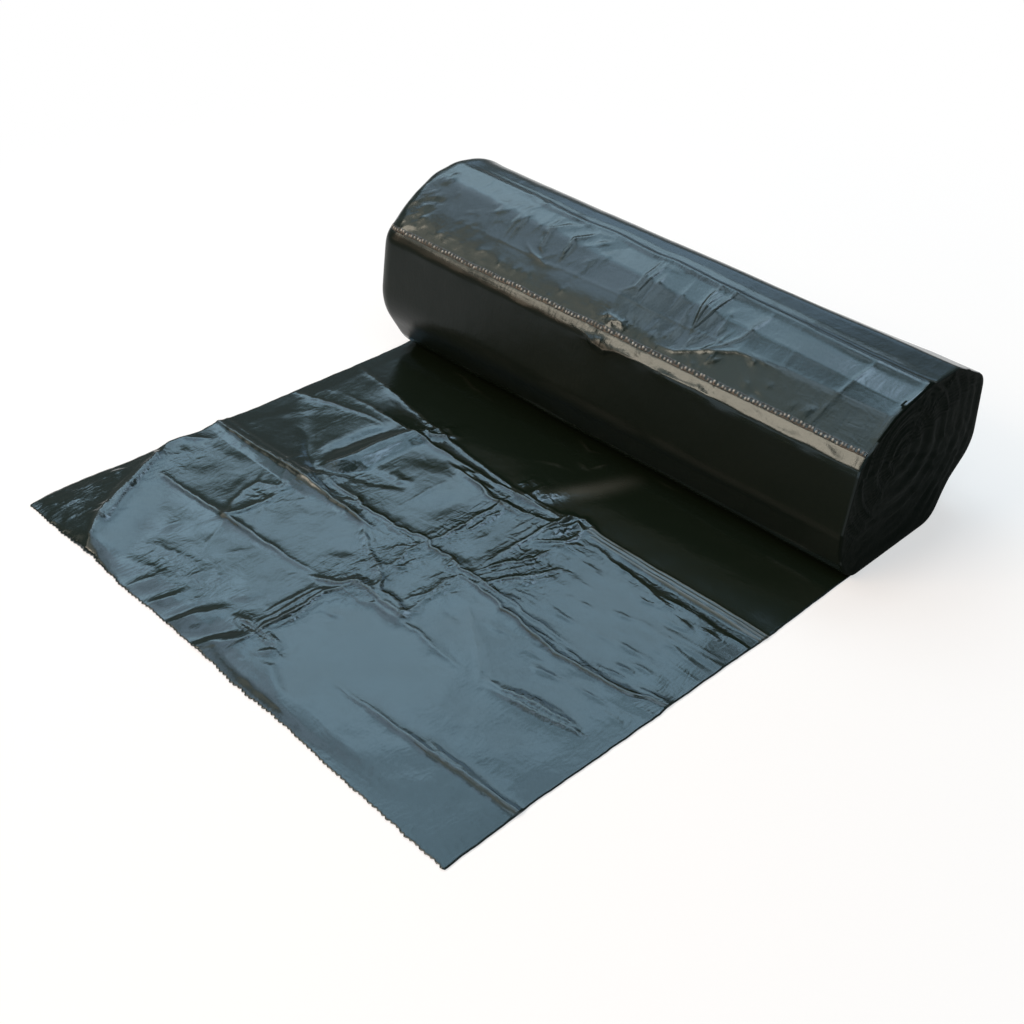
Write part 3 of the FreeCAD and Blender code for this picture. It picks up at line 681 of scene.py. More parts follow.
# %% [markdown]
# Now the heights are added up. Creases stray most around the middle of the bag and least in the corner
# and along the pleat. Nothing stands up where the roll lies on the bag, and little does at the torn
# edge. The last line is a soft floor: film can't sink into the table, and cutting the heights off at
# zero would leave a hard line around each hollow.


# %% The height of the first bag
def jaggedness(across, along):
    """How far creases stray: most around the middle of the bag, least at the corner and the pleat."""
    middle = 0.55 * np.exp(-(((across - 112) / 30) ** 2) - ((along - 70) / 38) ** 2)
    pleat = bell(along - 118.5, 4) * fade(across - 128, 6)
    corner = np.clip(1 - (across + 0.68 * along - 30) / 25, 0, 1)
    return (0.26 + middle) * (1 - 0.8 * pleat) * (1 - 0.7 * corner)


def bag_height(across, along, jagged, sharp):
    """The height of the film over the table, from all that was listed above."""
    height = relief(*jagged, sharp)
    height += relief(across, along, SOFT_SWELLS, SWELL_STRENGTH) + relief(*jagged, EDGE_FOLDS)
    for band in BANDS:
        height += band_relief(across, along, *band)
    for patch in CRUMPLED_PATCHES:
        height += relief(*jagged, scattered_creases(*patch))
    swell = 0.28 * (1 + smooth_noise(6, across, along, 46)) + 0.05 * smooth_noise(9, across, along, 15)
    rim = np.minimum(np.minimum(across, BAG_WIDTH - across), along)
    height += swell * fade(rim, 8) + lifted_corner(across, along)
    height *= fade(FOOT - 2 - along, 8)  # nothing stands up where the roll lies
    off_edge = fade(along, 5)
    height = height * (0.35 + 0.65 * off_edge) + corner_slope(across, along) * off_edge**0.5
    height += rolled_edge(across, along)
    return np.logaddexp(0, 10 * height) / 10


# %% [markdown]
# The bag is one grid. Its columns and rows are a little over half a millimetre apart, closer where the
# finest creases are, and far apart under the roll. Spending the grid lines where they show keeps the
# piece under two hundred thousand triangles.


# %% The grid lines of the first bag
def uneven_steps(stretches):
    """Places of grid lines for stretches of (length, spacing), which meet end to end."""
    places, start = [np.array([0.0])], 0.0
    for length, spacing in stretches:
        count = round(length / spacing)
        places.append(start + length * np.arange(1, count + 1) / count)
        start += length
    return np.concatenate(places)


COLUMNS = uneven_steps([(93, 0.66), (42, 0.42), (BAG_WIDTH - 135, 0.66)])
ROWS = uneven_steps([(66, 0.66), (15, 0.42), (25, 0.62), (18, 0.42), (FOOT - 124, 0.7),
                     (UNROLLED + 8 - FOOT, 4.0)])
print(f"{len(COLUMNS)} columns by {len(ROWS)} rows")

# %% [markdown]
# A sheet with no back looks wrong from below, and can't be printed or weighed. So the grid's rim is
# extruded down to the table and closed underneath with one face. Solidify would copy every crease to the
# underside, and double the count for a side that nobody sees.


# %% Close the bag underneath
def face_outwards():
    """Turns all faces of the piece in edit mode outwards, and leaves edit mode."""
    bpy.ops.mesh.select_all(action="SELECT")
    bpy.ops.mesh.normals_make_consistent(inside=False)
    bpy.ops.object.mode_set(mode="OBJECT")


def close_underneath(piece):
    """Extrudes the rim down to the table and fills the bottom with one face."""
    bpy.ops.object.mode_set(mode="EDIT")
    bpy.ops.mesh.select_mode(type="EDGE")
    bpy.ops.mesh.select_all(action="DESELECT")
    bpy.ops.mesh.select_non_manifold()
    bpy.ops.mesh.extrude_region_move()
    bpy.ops.object.mode_set(mode="OBJECT")
    for vertex in piece.data.vertices:
        if vertex.select:
            vertex.co.z = 0
    bpy.ops.object.mode_set(mode="EDIT")
    bpy.ops.mesh.edge_face_add()
    face_outwards()


# %% [markdown]
# All is ready for the first bag: a grid, its heights, its outline, and two amounts for the finish: how
# crumpled the film is, and how hard it is folded, which the finish shows as whitening and painted
# highlight. The pleat and the tongue get the strongest painted highlight and are the whitest.


# %% Model the first bag
def first_bag():
    piece, column, row = plain_grid("first_bag", len(COLUMNS), len(ROWS))
    across, along = COLUMNS[column], ROWS[row]
    jagged = kinked(across, along, jaggedness(across, along))
    sharp = PLEAT + CROSS_CREASES + LENGTHWISE_CREASES + TALL_FOLDS
    height = bag_height(across, along, jagged, sharp)
    write_places(piece, *bag_outline(across, along), FILM_STACK + height)
    spread(piece, "crumple", crumple_at(across, along, BAG_CRUMPLE))
    # whitening along hard folds, with a strong painted highlight on the three lines of the pleat and on
    # the tongue
    folds = 0.6 * hard_folds(*jagged, sharp) + 2.2 * hard_folds(*jagged, PLEAT)
    spread(piece, "whitening_and_highlight", np.maximum(folds, relief(across, along, TONGUE_HIGHLIGHT)))
    close_underneath(piece)
    return piece


bag = first_bag()
print(f"first_bag: {len(bag.data.polygons)} faces")

# %% [markdown]
# ## The wound roll
#
# A soft roll that lies on its side isn't round. It has a flat spot underneath, a steep back, a crest, a
# long flat slope at the front, and a ridge where the film of the first bag ends at its perforation. The
# section is drawn as corners with a rounding each, at the left end and at the right end, and every
# section between is a mix of the two. That is what a loft does, but here the points around each section
# can be spent where the wrinkles are.

# %% The section of the roll
SECTION = [
    # name, (y, z) at the left end, (y, z) at the right end, rounding at the left and at the right,
    # points on the rounding, points on the stretch after it
    ("toe", (-31.0, 0.0), (-30.5, 0.0), (12.0, 6.0), 7, 8),
    ("heel", (12.0, 0.0), (15.0, 0.0), (12.0, 14.0), 7, 9),
    ("back_low", (37.0, 18.0), (36.6, 18.0), (14.0, 11.0), 8, 13),
    ("back_top", (33.5, 44.0), (34.8, 43.8), (12.0, 7.0), 9, 15),
    ("brow", (9.0, 63.0), (17.5, 53.0), (22.0, 5.0), 9, 8),
    ("crest", (-3.0, 64.8), (4.5, 52.8), (14.0, 3.0), 6, 9),
    ("shoulder", (-13.0, 62.8), (-8.0, 48.9), (14.0, 8.0), 12, 48),
    ("ridge", (-36.0, 47.8), (-26.2, 41.2), (7.0, 1.6), 7, 6),
    ("weld", (-38.0, 45.1), (-29.0, 37.5), (6.0, 1.0), 6, 20),
    ("belly", (-42.0, 20.0), (-32.4, 16.0), (20.0, 12.0), 12, 16),
]


def turned(arm, angle):
    """The arm, turned to the left by an angle."""
    return np.array([
        arm[0] * math.cos(angle) - arm[1] * math.sin(angle),
        arm[0] * math.sin(angle) + arm[1] * math.cos(angle),
    ])


def roundings(end):
    """For each corner at one end (0 left, 1 right): its rounding's centre, where it starts, its turn."""
    corners = [np.array(row[1 + end]) for row in SECTION]
    found = []
    for i, (_, _, _, radii, _, _) in enumerate(SECTION):
        back, on = corners[i - 1] - corners[i], corners[(i + 1) % len(corners)] - corners[i]
        back, on = back / np.linalg.norm(back), on / np.linalg.norm(on)
        half_turn = (math.pi - math.acos(float(back @ on))) / 2
        inward = (back + on) / np.linalg.norm(back + on)
        centre = corners[i] + inward * radii[end] / math.cos(half_turn)
        start = corners[i] + back * radii[end] * math.tan(half_turn)
        found.append((centre, start, 2 * half_turn))
    return found


def section_outline(end):
    """The section of one end as a closed row of points, and the number of each corner's first point."""
    rounded, points, starts = roundings(end), [], {}
    for i, (name, _, _, _, on_arc, on_stretch) in enumerate(SECTION):
        centre, start, turn = rounded[i]
        next_start = rounded[(i + 1) % len(SECTION)][1]
        starts[name] = len(points)
        arm = start - centre
        points += [centre + turned(arm, turn * share) for share in np.arange(on_arc) / on_arc]
        end_point = centre + turned(arm, turn)
        for share in np.arange(on_stretch) / on_stretch:
            points.append(end_point + (next_start - end_point) * share)
    return np.array(points), starts


LEFT_OUTLINE, STARTS = section_outline(0)
RIGHT_OUTLINE, _ = section_outline(1)
AROUND = len(LEFT_OUTLINE)
print(f"the section has {AROUND} points around it")

# %% [markdown]
# Two things have to be known at each point of a section: how far it is up the film from the perforation,
# because the wrinkles are placed by that, and which way is out of the film, because they rise that way.


# %% Along the film and out of it
def up_film(outline):
    """The distance up the film from the perforation to each point of a section. Below it is negative."""
    steps = np.linalg.norm(np.roll(outline, -1, axis=0) - outline, axis=1)
    total = np.concatenate([[0], np.cumsum(steps)[:-1]])
    return total[STARTS["ridge"]] - total


def out_of_film(outline):
    """The direction out of the film at each point of a section."""
    run = np.roll(outline, -1, axis=0) - np.roll(outline, 1, axis=0)
    normal = np.stack([run[:, 1], -run[:, 0]], axis=1)
    return normal / np.linalg.norm(normal, axis=1)[:, None]


def mix(left, right, shown):
    """A mix of what the two ends have, where shown is 0 at the left end and 1 at the right."""
    return left * (1 - shown) + right * shown


for name, outline in (("left", LEFT_OUTLINE), ("right", RIGHT_OUTLINE)):
    around = np.linalg.norm(np.roll(outline, -1, axis=0) - outline, axis=1).sum()
    print(f"the {name} end is {np.ptp(outline[:, 1]):.0f} mm tall and {around:.0f} mm around")

# %% [markdown]
# ## Wrinkles of the outer turn
#
# The film of the first bag goes under the roll, up its back, over the crest and down the front slope to
# the perforation. It isn't tight: fine wrinkles run across it, most of them in a bundle right of the
# middle, and two soft lines follow the crest. They are creases like those of the bag. Places are in
# millimetres from the left end, and up the slope from the perforation.

# %% The wrinkles of the slope
SLOPE_CREASES = [
    # the soft fold a third of the way up the slope, parallel to the perforation
    ([(120, 3, 0), (128, 3.4, 0.5), (135, 7, 0.5), (146, 11.8, 0.6), (152, 12.4, 0.3), (158, 12.6, 0)],
     0.6),
    ([(16, 12.6, 0), (50, 12.6, 0.12), (100, 12.8, 0.12), (130, 13, 0.12), (200, 14, 0.14)], 0.5),
    # the fold along the crest
    ([(4, 39, 0), (18, 38.4, -0.2), (45, 37.8, -0.3), (63, 36.4, -0.3), (80, 37.8, -0.3),
      (96, 36.4, -0.35), (104, 37.1, -0.35), (121, 35.6, -0.35), (142, 35.0, -0.3), (176, 33.8, -0.3),
      (199, 33.4, -0.2)], 1.2, 0, SOFT),
    ([(4, 35, 0), (18, 36.0, 0.15), (45, 35.4, 0.25), (62, 33.8, 0.3), (78, 35.4, 0.3), (96, 33.4, 0.35),
      (104, 34.4, 0.35), (122, 33.0, 0.35), (142, 32.4, 0.35), (176, 31.0, 0.4), (200, 30.6, 0.4)],
     1.3, 0, SOFT),
    ([(40, 33.6, 0), (52, 33, 0.35), (64, 34, 0)], 0.9),
    ([(66, 33.4, 0), (76, 32, 0.4), (84, 33.4, 0)], 0.9),
    ([(100, 31.6, 0), (106, 30.6, 0.4), (112, 31.6, 0)], 0.8),
    ([(146, 30.6, 0), (170, 29.4, 0.25), (198, 28.6, 0.3)], 0.8),
    # wrinkles across the slope, from left to right
    ([(27, 34, 0), (27.6, 29, 0.15), (28.4, 24, 0)], 0.7),
    ([(22, 36, 0), (23, 32, 0.2), (22.6, 28, 0)], 0.8),
    ([(45.4, 31, 0), (45.6, 20, 0.4), (46.2, 10, 0)], 0.45, 0.3),
    ([(48.0, 30, 0), (48.2, 20, 0.36), (48.6, 12, 0)], 0.45, -0.3),
    ([(36.5, 30, 0), (37.2, 22, 0.25), (38.6, 14, 0)], 0.5, 0.3),
    ([(68, 33, 0), (63, 29.5, 0.45), (59, 24.5, 0.55), (61, 17, 0.45), (65, 14, 0)], 0.6, 0.3),
    ([(74.5, 32.5, 0), (72.5, 28.6, 0.6), (69.4, 25, 0.7), (70, 19, 0.65), (71.4, 14, 0)], 0.6, 0.35),
    ([(81.5, 32, 0), (78.4, 28.6, 0.5), (76.5, 26.6, 0)], 0.6, 0.3),
    ([(54, 16.5, 0), (60, 13.6, 0.4), (67, 11.6, 0.4), (74, 12.4, 0)], 0.6, -0.3),
    ([(100.8, 33, 0.1), (101.4, 26, 0.4), (101.2, 18, 0.35), (98.4, 14.4, 0.15), (96.6, 13.8, 0)],
     0.5, 0.35),
    ([(103.2, 33, 0.1), (103.4, 26, 0.4), (103.0, 18, 0.3), (103.6, 14, 0)], 0.5, -0.3),
    ([(106.2, 28.8, 0), (106.6, 24, 0.4), (107.0, 18, 0.25), (107.4, 12, 0)], 0.7, 0.3),
    ([(115.4, 32, 0), (116.4, 24, 0.25), (116.8, 14, 0)], 0.8),
    ([(124.0, 33, 0.2), (124.2, 27, 0.6), (125.4, 21, 0.6), (127.6, 14, 0.3), (128, 9, 0)], 0.6, 0.35),
    ([(126.4, 31, 0.1), (125.9, 25, 0.5), (126.6, 19, 0.6), (128.0, 13, 0)], 0.5, -0.2),
    ([(130.0, 33.4, 0.2), (129.4, 26, 0.55), (129.0, 20, 0.55), (128.2, 14, 0.2)], 0.6, -0.35),
    ([(128.0, 30, 0), (127.4, 23, 0.35), (128.2, 16, 0)], 0.4),
    ([(121.6, 21, 0), (122.6, 15, 0.3), (124.0, 6, 0)], 0.7, 0.3),
    ([(130.6, 14, 0), (130.0, 9, 0.3), (130.6, 3, 0)], 0.8, 0.3),
    ([(133.0, 26.4, 0), (134.6, 23.8, 0.35), (136.4, 22.6, 0)], 0.7),
    ([(134.8, 22.4, 0), (135.6, 17.6, 0.35), (136.2, 12, 0)], 0.7, 0.3),
    ([(139.4, 19, 0), (138.6, 13, 0.35), (137.4, 8, 0)], 0.7, 0.3),
    ([(145.6, 32, 0), (145.0, 25, 0.4), (143.6, 17, 0.4), (140.4, 11.6, 0.45), (134.0, 5.6, 0)],
     0.8, -0.35),
    ([(160.8, 26, 0), (161.2, 14, 0.14), (161.6, 3, 0)], 0.6),
    ([(182.2, 31, 0.1), (181.6, 24, 0.35), (180.8, 14, 0.25)], 0.5, 0.3),
    ([(180.4, 13.6, 0.1), (180.0, 8, 0.2), (179.4, 1.6, 0.1)], 0.5, 0.3),
    ([(199.4, 32, 0.5), (198.8, 24, 0.5), (198.2, 15, 0.4), (198.8, 6, 0.3)], 0.9, 0.3),
    # the small bright nib and the wrinkles by the perforation
    ([(151.6, 9.6, 0), (152.6, 11.2, 0.5), (153.6, 12.6, 0)], 0.5),
    ([(138.0, 3.0, 0), (141.4, 6.2, 0.35), (144.0, 8.4, 0)], 0.7),
    ([(150.4, 13.0, 0), (156, 12.2, 0.3), (162, 12.4, 0)], 0.5),
    ([(97.6, 3.2, 0), (101.0, 4.8, 0.8), (105.0, 4.6, 0.8), (108.8, 3.0, 0)], 0.8, -0.3),
    ([(99.4, 2.4, 0), (103.4, 3.4, 0.5), (107.4, 4.6, 0.4), (110, 3.4, 0)], 0.6),
    ([(101.6, 1.0, 0), (103.2, 2.6, 0.5), (103.0, 4.4, 0)], 0.5),
    # wrinkles of the loose left end
    ([(2.0, 8.0, 0.2), (6.0, 12.4, 0.4), (9.4, 16.6, 0)], 0.9, 0.3),
    ([(4.4, 4.0, 0.2), (9.0, 7.6, 0.4), (13.4, 11.8, 0)], 0.8, 0.3),
    ([(1.0, 15, 0.1), (3.4, 19, 0.3), (4.6, 24, 0)], 0.9),
    ([(12, 2.6, 0), (15.6, 5.6, 0.3), (18.4, 9.4, 0)], 0.8),
    ([(7.5, 20, 0), (10.5, 26, 0.3), (9.5, 31, 0)], 1.4, 0, SOFT),
    ([(21, 3, 0), (24, 5.6, 0.25), (27, 8.6, 0)], 0.8),
    ([(32, 1.6, 0), (33.6, 4.6, 0.25), (36.0, 7.6, 0)], 0.7),
    ([(51.4, 2.0, 0), (52.6, 4.6, 0.3), (54.0, 6.6, 0)], 0.5),
]

print(f"{len(SLOPE_CREASES)} wrinkles on the slope")

# %% [markdown]
# Under the perforation the next bag begins with a narrow strip, down to its weld. Its wrinkles have a
# list of their own. The patches strew small creases over the slope and the strip, and the blots say
# where the finish crumples the film.

# %% The strip, the patches and the crumpled blots
STRIP_CREASES = [
    # the strip between the perforation and the weld of the next bag
    ([(90, -3.0, 0), (96, -3.6, 0.6), (101, -5.0, 1.6), (106, -5.6, 1.6), (110, -4.8, 0.8),
      (120, -4.4, 0.4), (150, -4.3, 0.3), (175, -4.4, 0.3), (200, -4.6, 0.3)], 0.6, 0.5),
    ([(98.6, -4.4, 0), (102.2, -6.2, 0.9), (105.6, -6.8, 1.0), (109.4, -5.2, 0)], 0.6, 0.3),
    ([(102.4, -1.6, 0), (103.4, -3.4, 0.7), (104.2, -5.0, 0)], 0.6),
    ([(99.6, -2.4, 0), (102.0, -3.6, 0.5), (103.6, -3.0, 0)], 0.5),
    ([(117.2, -0.6, 0), (117.8, -2.4, 0.3), (117.2, -4.2, 0)], 0.5),
    ([(126.4, -3.8, 0), (129, -4.4, 0.4), (132.4, -4.0, 0)], 0.5),
    ([(138, -4.2, 0), (142, -3.4, 0.4), (146, -4.2, 0)], 0.6),
    ([(158, -1.2, 0), (164, -3.0, 0.25), (170, -3.8, 0)], 0.9),
    ([(185, -1.0, 0), (189, -3.2, 0.25), (193, -4.0, 0)], 0.8),
    ([(196.6, -0.6, 0.2), (196.8, -2.6, 0.3), (196.6, -4.4, 0.1)], 0.4),
]

SLOPE_PATCHES = [
    # seed, count, middle, spread, direction and its spread in degrees, length, height, width
    (31, 7, (126.5, 22), (4.5, 9), (90, 9), 10, 0.2, 0.4),
    (33, 22, (9, 10), (8, 9), (52, 24), 9, 0.4, 0.6),
    (34, 14, (62, 34), (22, 2.5), (5, 25), 7, 0.2, 0.6),
    (35, 14, (104, 2.5), (9, 3), (20, 50), 4, 0.22, 0.45),
    (37, 70, (90, 4.0), (88, 3.0), (70, 26), 6, 0.26, 0.5),
    (41, 18, (62, 22), (24, 9), (66, 22), 13, 0.4, 0.6),
    (42, 24, (24, 14), (22, 12), (58, 26), 11, 0.36, 0.6),
    (43, 14, (128, 9), (14, 4), (74, 16), 8, 0.36, 0.5),
    (38, 20, (150, -2.4), (48, 2.0), (40, 60), 3, 0.10, 0.5),
    (40, 40, (100, 62), (98, 24), (88, 20), 16, 0.10, 0.9),
]

ROLL_CRUMPLE = [
    (126, 20, 8, 16, 0.16),
    (104, 3, 12, 5, 0.5),
    (6, 10, 8, 14, 0.35),
    (25, 5, 20, 6, 0.3),
    (110, 34, 60, 3, 0.35),
    (120, -3, 90, 2.5, 0.3),
    (50, 35, 40, 3, 0.35),
]

print(f"{len(STRIP_CREASES)} wrinkles on the strip, {len(SLOPE_PATCHES)} patches")

# %% [markdown]
# The lowest part of the slope is a facet of its own: it faces more to the front, so it mirrors a darker
# part of the studio. It ends at a wavy line, which is sharp at the right and soft at the left. To soften
# a line, the same shape is laid down five times, each a little further along, and averaged.

# %% The height of the film on the roll
SLOPE_END = 34  # how far up the slope reaches, where the crest begins


def lower_slope(x, up_slope):
    """The lowest part of the slope is a facet of its own, which ends at a wavy line."""
    line = np.interp(
        x,
        [0, 5.5, 10, 15, 25, 38, 52, 63, 71, 85, 93, 99, 106, 114, 122, 127, 135, 146, 160, 180, 200],
        [12, 12, 12, 11, 9.7, 10, 8, 7, 6.5, 8.7, 10, 10.6, 8, 5.4, 4, 4, 7, 11.9, 12.6, 13.4, 14],
    )
    softness = np.interp(x, [0, 60, 95, 115, 150, 200], [4.5, 4.5, 2.5, 1.2, 1.0, 1.4])
    flat = np.interp(x, [0, 100, 140], [0.55, 0.55, 0.95])
    total = np.zeros(x.shape)
    for shift in (-1, -0.5, 0, 0.5, 1):
        place = up_slope + shift * softness
        share = fade(place, line)
        up = 0.15 * line * (flat * share + (1 - flat) * (1 - (1 - share) ** 2))
        total += up * fade(SLOPE_END - place, np.maximum(SLOPE_END - line, 1)) / 5
    return total


def slope_relief(x, up_slope):
    """The height of the film over the plain section of the roll."""
    jagged = kinked(x, up_slope, 0.05)
    height = relief(*jagged, SLOPE_CREASES, 1.5) + lower_slope(x, up_slope)
    height += relief(*jagged, STRIP_CREASES)
    for patch in SLOPE_PATCHES:
        height += relief(*jagged, scattered_creases(*patch), 1.3)
    height += 0.16 * kinked_noise(45, x, 0 * x, 9) * bell(up_slope + 5.0, 1.2)  # the weld is uneven
    return height + 0.2 * smooth_noise(7, x, up_slope, 50)


# %% [markdown]
# ## The ends of the roll
#
# Each end shows the edges of hundreds of turns. They never line up exactly: some turns stand out by a
# fraction of a millimetre and others lie deeper, so the end looks like a soft spiral of ridges. A spiral
# needs no curve here: the distance from the middle plus the share of a turn around it is the number of
# the turn, and the height only asks for that number. The outermost turns of the left end have slumped,
# which rounds that end off.

# %% The ends
TURN_PITCH = 1.5  # how far apart the turns that stand out are


def rim_share(x, z):
    """How far the section has drawn in where the roll rounds off towards its ends, more so at its top."""
    upper = fade(z - 30, 30)
    left = np.clip(1 - x / (6.0 + upper), 0, 1)  # the left end rounds off over 6 or 7 mm,
    right = np.clip(1 - (BAG_WIDTH - x) / 0.8, 0, 1)  # and the right end over less than one
    drawn_in = 0.13 + 0.03 * upper
    flared = 0.022 * upper * bell(x - 3, 4.5)  # the loose outer turns of the left end
    left_end = drawn_in * (1 - np.sqrt(1 - 0.98 * left**2))
    return 1 + flared - left_end - 0.008 * (1 - np.sqrt(1 - 0.98 * right**2))


def telescoping(seed, turn):
    """How far each turn stands out of the end, as a smooth curve over the number of turns."""
    draw = np.random.default_rng(seed)
    levels = draw.uniform(-1, 1, 80)
    return np.interp(turn, np.arange(80), levels)


def end_relief(x, places_yz, middle, inward, is_left):
    """How far each spot of an end stands out or lies in, along the roll."""
    arm = places_yz - middle
    reach = np.linalg.norm(arm, axis=1)
    turn = reach / TURN_PITCH + np.arctan2(arm[:, 1], arm[:, 0]) / (2 * math.pi)
    groove = -0.35 * bell(np.abs((turn % 1) - 0.5), 0.16)  # the gap between two turns
    level = np.where(is_left, telescoping(51, turn), telescoping(52, turn))
    dish = -0.9 * np.clip(1 - reach / 20, 0, 1)  # the middle lies deeper
    amount = (groove + 0.45 * level + dish) * np.clip(inward * 12, 0, 1)
    # at the right end, the turns of the lowest 10 mm have slid out
    slid = 2.3 * np.clip(1 - places_yz[:, 1] / 10, 0, 1) ** 1.3 * fade(x - 185, 15) ** 2
    return np.where(is_left, -amount, amount + slid)


# %% [markdown]
# The roll is one grid, rolled up. Its columns go around the section. Its rows start in the middle of the
# left end, run out to the rim, along the roll and in again over the right end. Rolled up, its first and
# last columns lie on each other and are merged, and the pinholes in the middle of the ends are filled.

# %% The grid lines of the roll
END_RINGS = 34
FACE_SHARE = 0.02  # the end faces stop this short of the middle
ACROSS = uneven_steps([(18, 0.62), (24, 0.8), (38, 0.62), (15, 0.7), (55, 0.4), (28, 0.85), (8, 0.5),
                       (BAG_WIDTH - 186, 0.8)])


def close_seams():
    """Merges the new grid's first and last column, and closes the two small holes in the ends."""
    bpy.ops.object.mode_set(mode="EDIT")
    bpy.ops.mesh.select_all(action="SELECT")
    bpy.ops.mesh.remove_doubles(threshold=0.00001)
    bpy.ops.mesh.select_all(action="DESELECT")
    bpy.ops.mesh.select_non_manifold()
    bpy.ops.mesh.fill_holes(sides=0)
    face_outwards()


print(f"{len(ACROSS) + 2 * END_RINGS} rows by {AROUND} columns")

# %% [markdown]
# Each vertex now finds its place in three moves. The mix of the two ends gives its plain section. The
# wrinkles push it out of the film there. And near an end the whole section is drawn in, first to round
# off the rim and then, over the end face, towards the middle.
#
# Three amounts go to the finish: how crumpled the film is; how hard it is folded, which the finish shows
# as whitening, together with a painted highlight along the slope's right rim; and where shade is painted.
# Below the weld the film is given painted shade: a darker colour and hardly any mirror image, so the
# shine of the bright strip above it stops there.


# %% Model the wound roll
def wound_roll():
    along_rows = len(ACROSS)
    rows = along_rows + 2 * END_RINGS
    piece, row, column = plain_grid("wound_roll", rows, AROUND + 1)
    column = column % AROUND
    x = ACROSS[np.clip(row - END_RINGS, 0, along_rows - 1)]
    shown = x / BAG_WIDTH  # 0 at the left end, 1 at the right
    in_left = fade(END_RINGS - row, END_RINGS)
    in_right = fade(row - END_RINGS - along_rows + 1, END_RINGS)
    inward = np.maximum(in_left, in_right)  # 0 on the roll's outside, 1 in the middle of an end

    outline = mix(LEFT_OUTLINE[column], RIGHT_OUTLINE[column], shown[:, None])
    middle = mix(LEFT_OUTLINE.mean(0), RIGHT_OUTLINE.mean(0), shown[:, None])
    up_slope = mix(up_film(LEFT_OUTLINE)[column], up_film(RIGHT_OUTLINE)[column], shown)
    outward = mix(out_of_film(LEFT_OUTLINE)[column], out_of_film(RIGHT_OUTLINE)[column], shown[:, None])
    outward /= np.linalg.norm(outward, axis=1)[:, None]
    height = slope_relief(x, up_slope) * fade(outline[:, 1], 3)  # the flat spot stays flat
    surface = outline + outward * height[:, None]

    share = rim_share(x, outline[:, 1]) * (1 - inward * (1 - FACE_SHARE))
    places_yz = middle + (surface - middle) * share[:, None]
    x = x + end_relief(x, places_yz, middle, inward, in_left > 0)
    on_the_bag = 0.35 * np.clip(1 - places_yz[:, 1] / 3, 0, 1)  # the film of the bag passes under it
    z = np.maximum(places_yz[:, 1], 0) + on_the_bag
    write_places(piece, x, places_yz[:, 0] + UNROLLED, z)
    finish_amounts(piece, x, up_slope, inward == 0)
    close_seams()
    return piece


def finish_amounts(piece, x, up_slope, outside):
    """Keeps on the roll how crumpled its film is, how much it whitens along folds and with painted
    highlights, and where shade is painted on it.
    """
    spread(piece, "crumple", crumple_at(x, up_slope, ROLL_CRUMPLE) * outside)
    folds = 0.8 * hard_folds(x, up_slope, SLOPE_CREASES + STRIP_CREASES)
    # painted highlight: a pale line down the slope's right rim, where the edges of the outer turns meet
    # the end
    cut = fade(x - BAG_WIDTH + 1.0, 0.6) * (up_slope > 0) * (up_slope < 33)  # the slope's right side
    spread(piece, "whitening_and_highlight", (folds + 0.7 * cut) * outside)
    # painted shade: below this shiny strip the roll's belly gets a darker finish with hardly any mirror
    # image
    bright_strip = np.interp(  # how wide the shiny strip under the perforation is
        x, [0, 18, 43, 62, 80, 105, 115, 143, 200], [0.5, 1.4, 2.1, 2.3, 2.6, 3.4, 3.7, 5.9, 6.2]
    )
    spread(piece, "painted_shade", np.clip(-bright_strip - up_slope, 0, 1))


roll = wound_roll()
print(f"wound_roll: {len(roll.data.polygons)} faces")

# %% [markdown]
# ## The perforation
#
# Along the ridge, the film of the first bag ends at the perforation of the next one. Each cut has
# stretched the film beside it into a tiny lip, and the bridges between the cuts stand up as beads. They
# are finer than the mesh of the roll, so they are a narrow strip of their own, which lies on the film.
# To lie on it, the strip asks for the same section, wrinkles and rim that shaped the roll.

# %% A place on the film of the roll
CUT_PITCH = 1.4  # one cut and one bridge of the perforation, in millimetres
BEADS_LOW, BEADS_HIGH = -0.9, 1.3  # the strip's lower and upper side, in millimetres up the slope
BEADS_IN = 0.8  # how far in from each end of the roll the strip starts


def film_place(x, up_slope, height):
    """The place of a spot of the roll's outer film: across it, up its slope and above it."""
    shown = x / BAG_WIDTH
    near = slice(STARTS["shoulder"], STARTS["belly"])
    ends = []
    for outline in (LEFT_OUTLINE, RIGHT_OUTLINE):
        up = up_film(outline)[near][::-1]
        values = np.hstack([outline, out_of_film(outline)])[near][::-1]
        ends.append(np.array([np.interp(up_slope, up, value) for value in values.T]))
    y, z, out_y, out_z = mix(*ends, shown)
    lift = height + slope_relief(x, up_slope)
    middle_y, middle_z = (
        mix(LEFT_OUTLINE[:, k].mean(), RIGHT_OUTLINE[:, k].mean(), shown) for k in (0, 1)
    )
    rim = rim_share(x, z)
    return middle_y + (y + out_y * lift - middle_y) * rim, middle_z + (z + out_z * lift - middle_z) * rim


# %% [markdown]
# No two bridges tore alike. Each bead gets its own size and shift by seeded chance, and leans a little.
# The strip's two long sides dip under the film of the roll, so that no gap shows beside it.


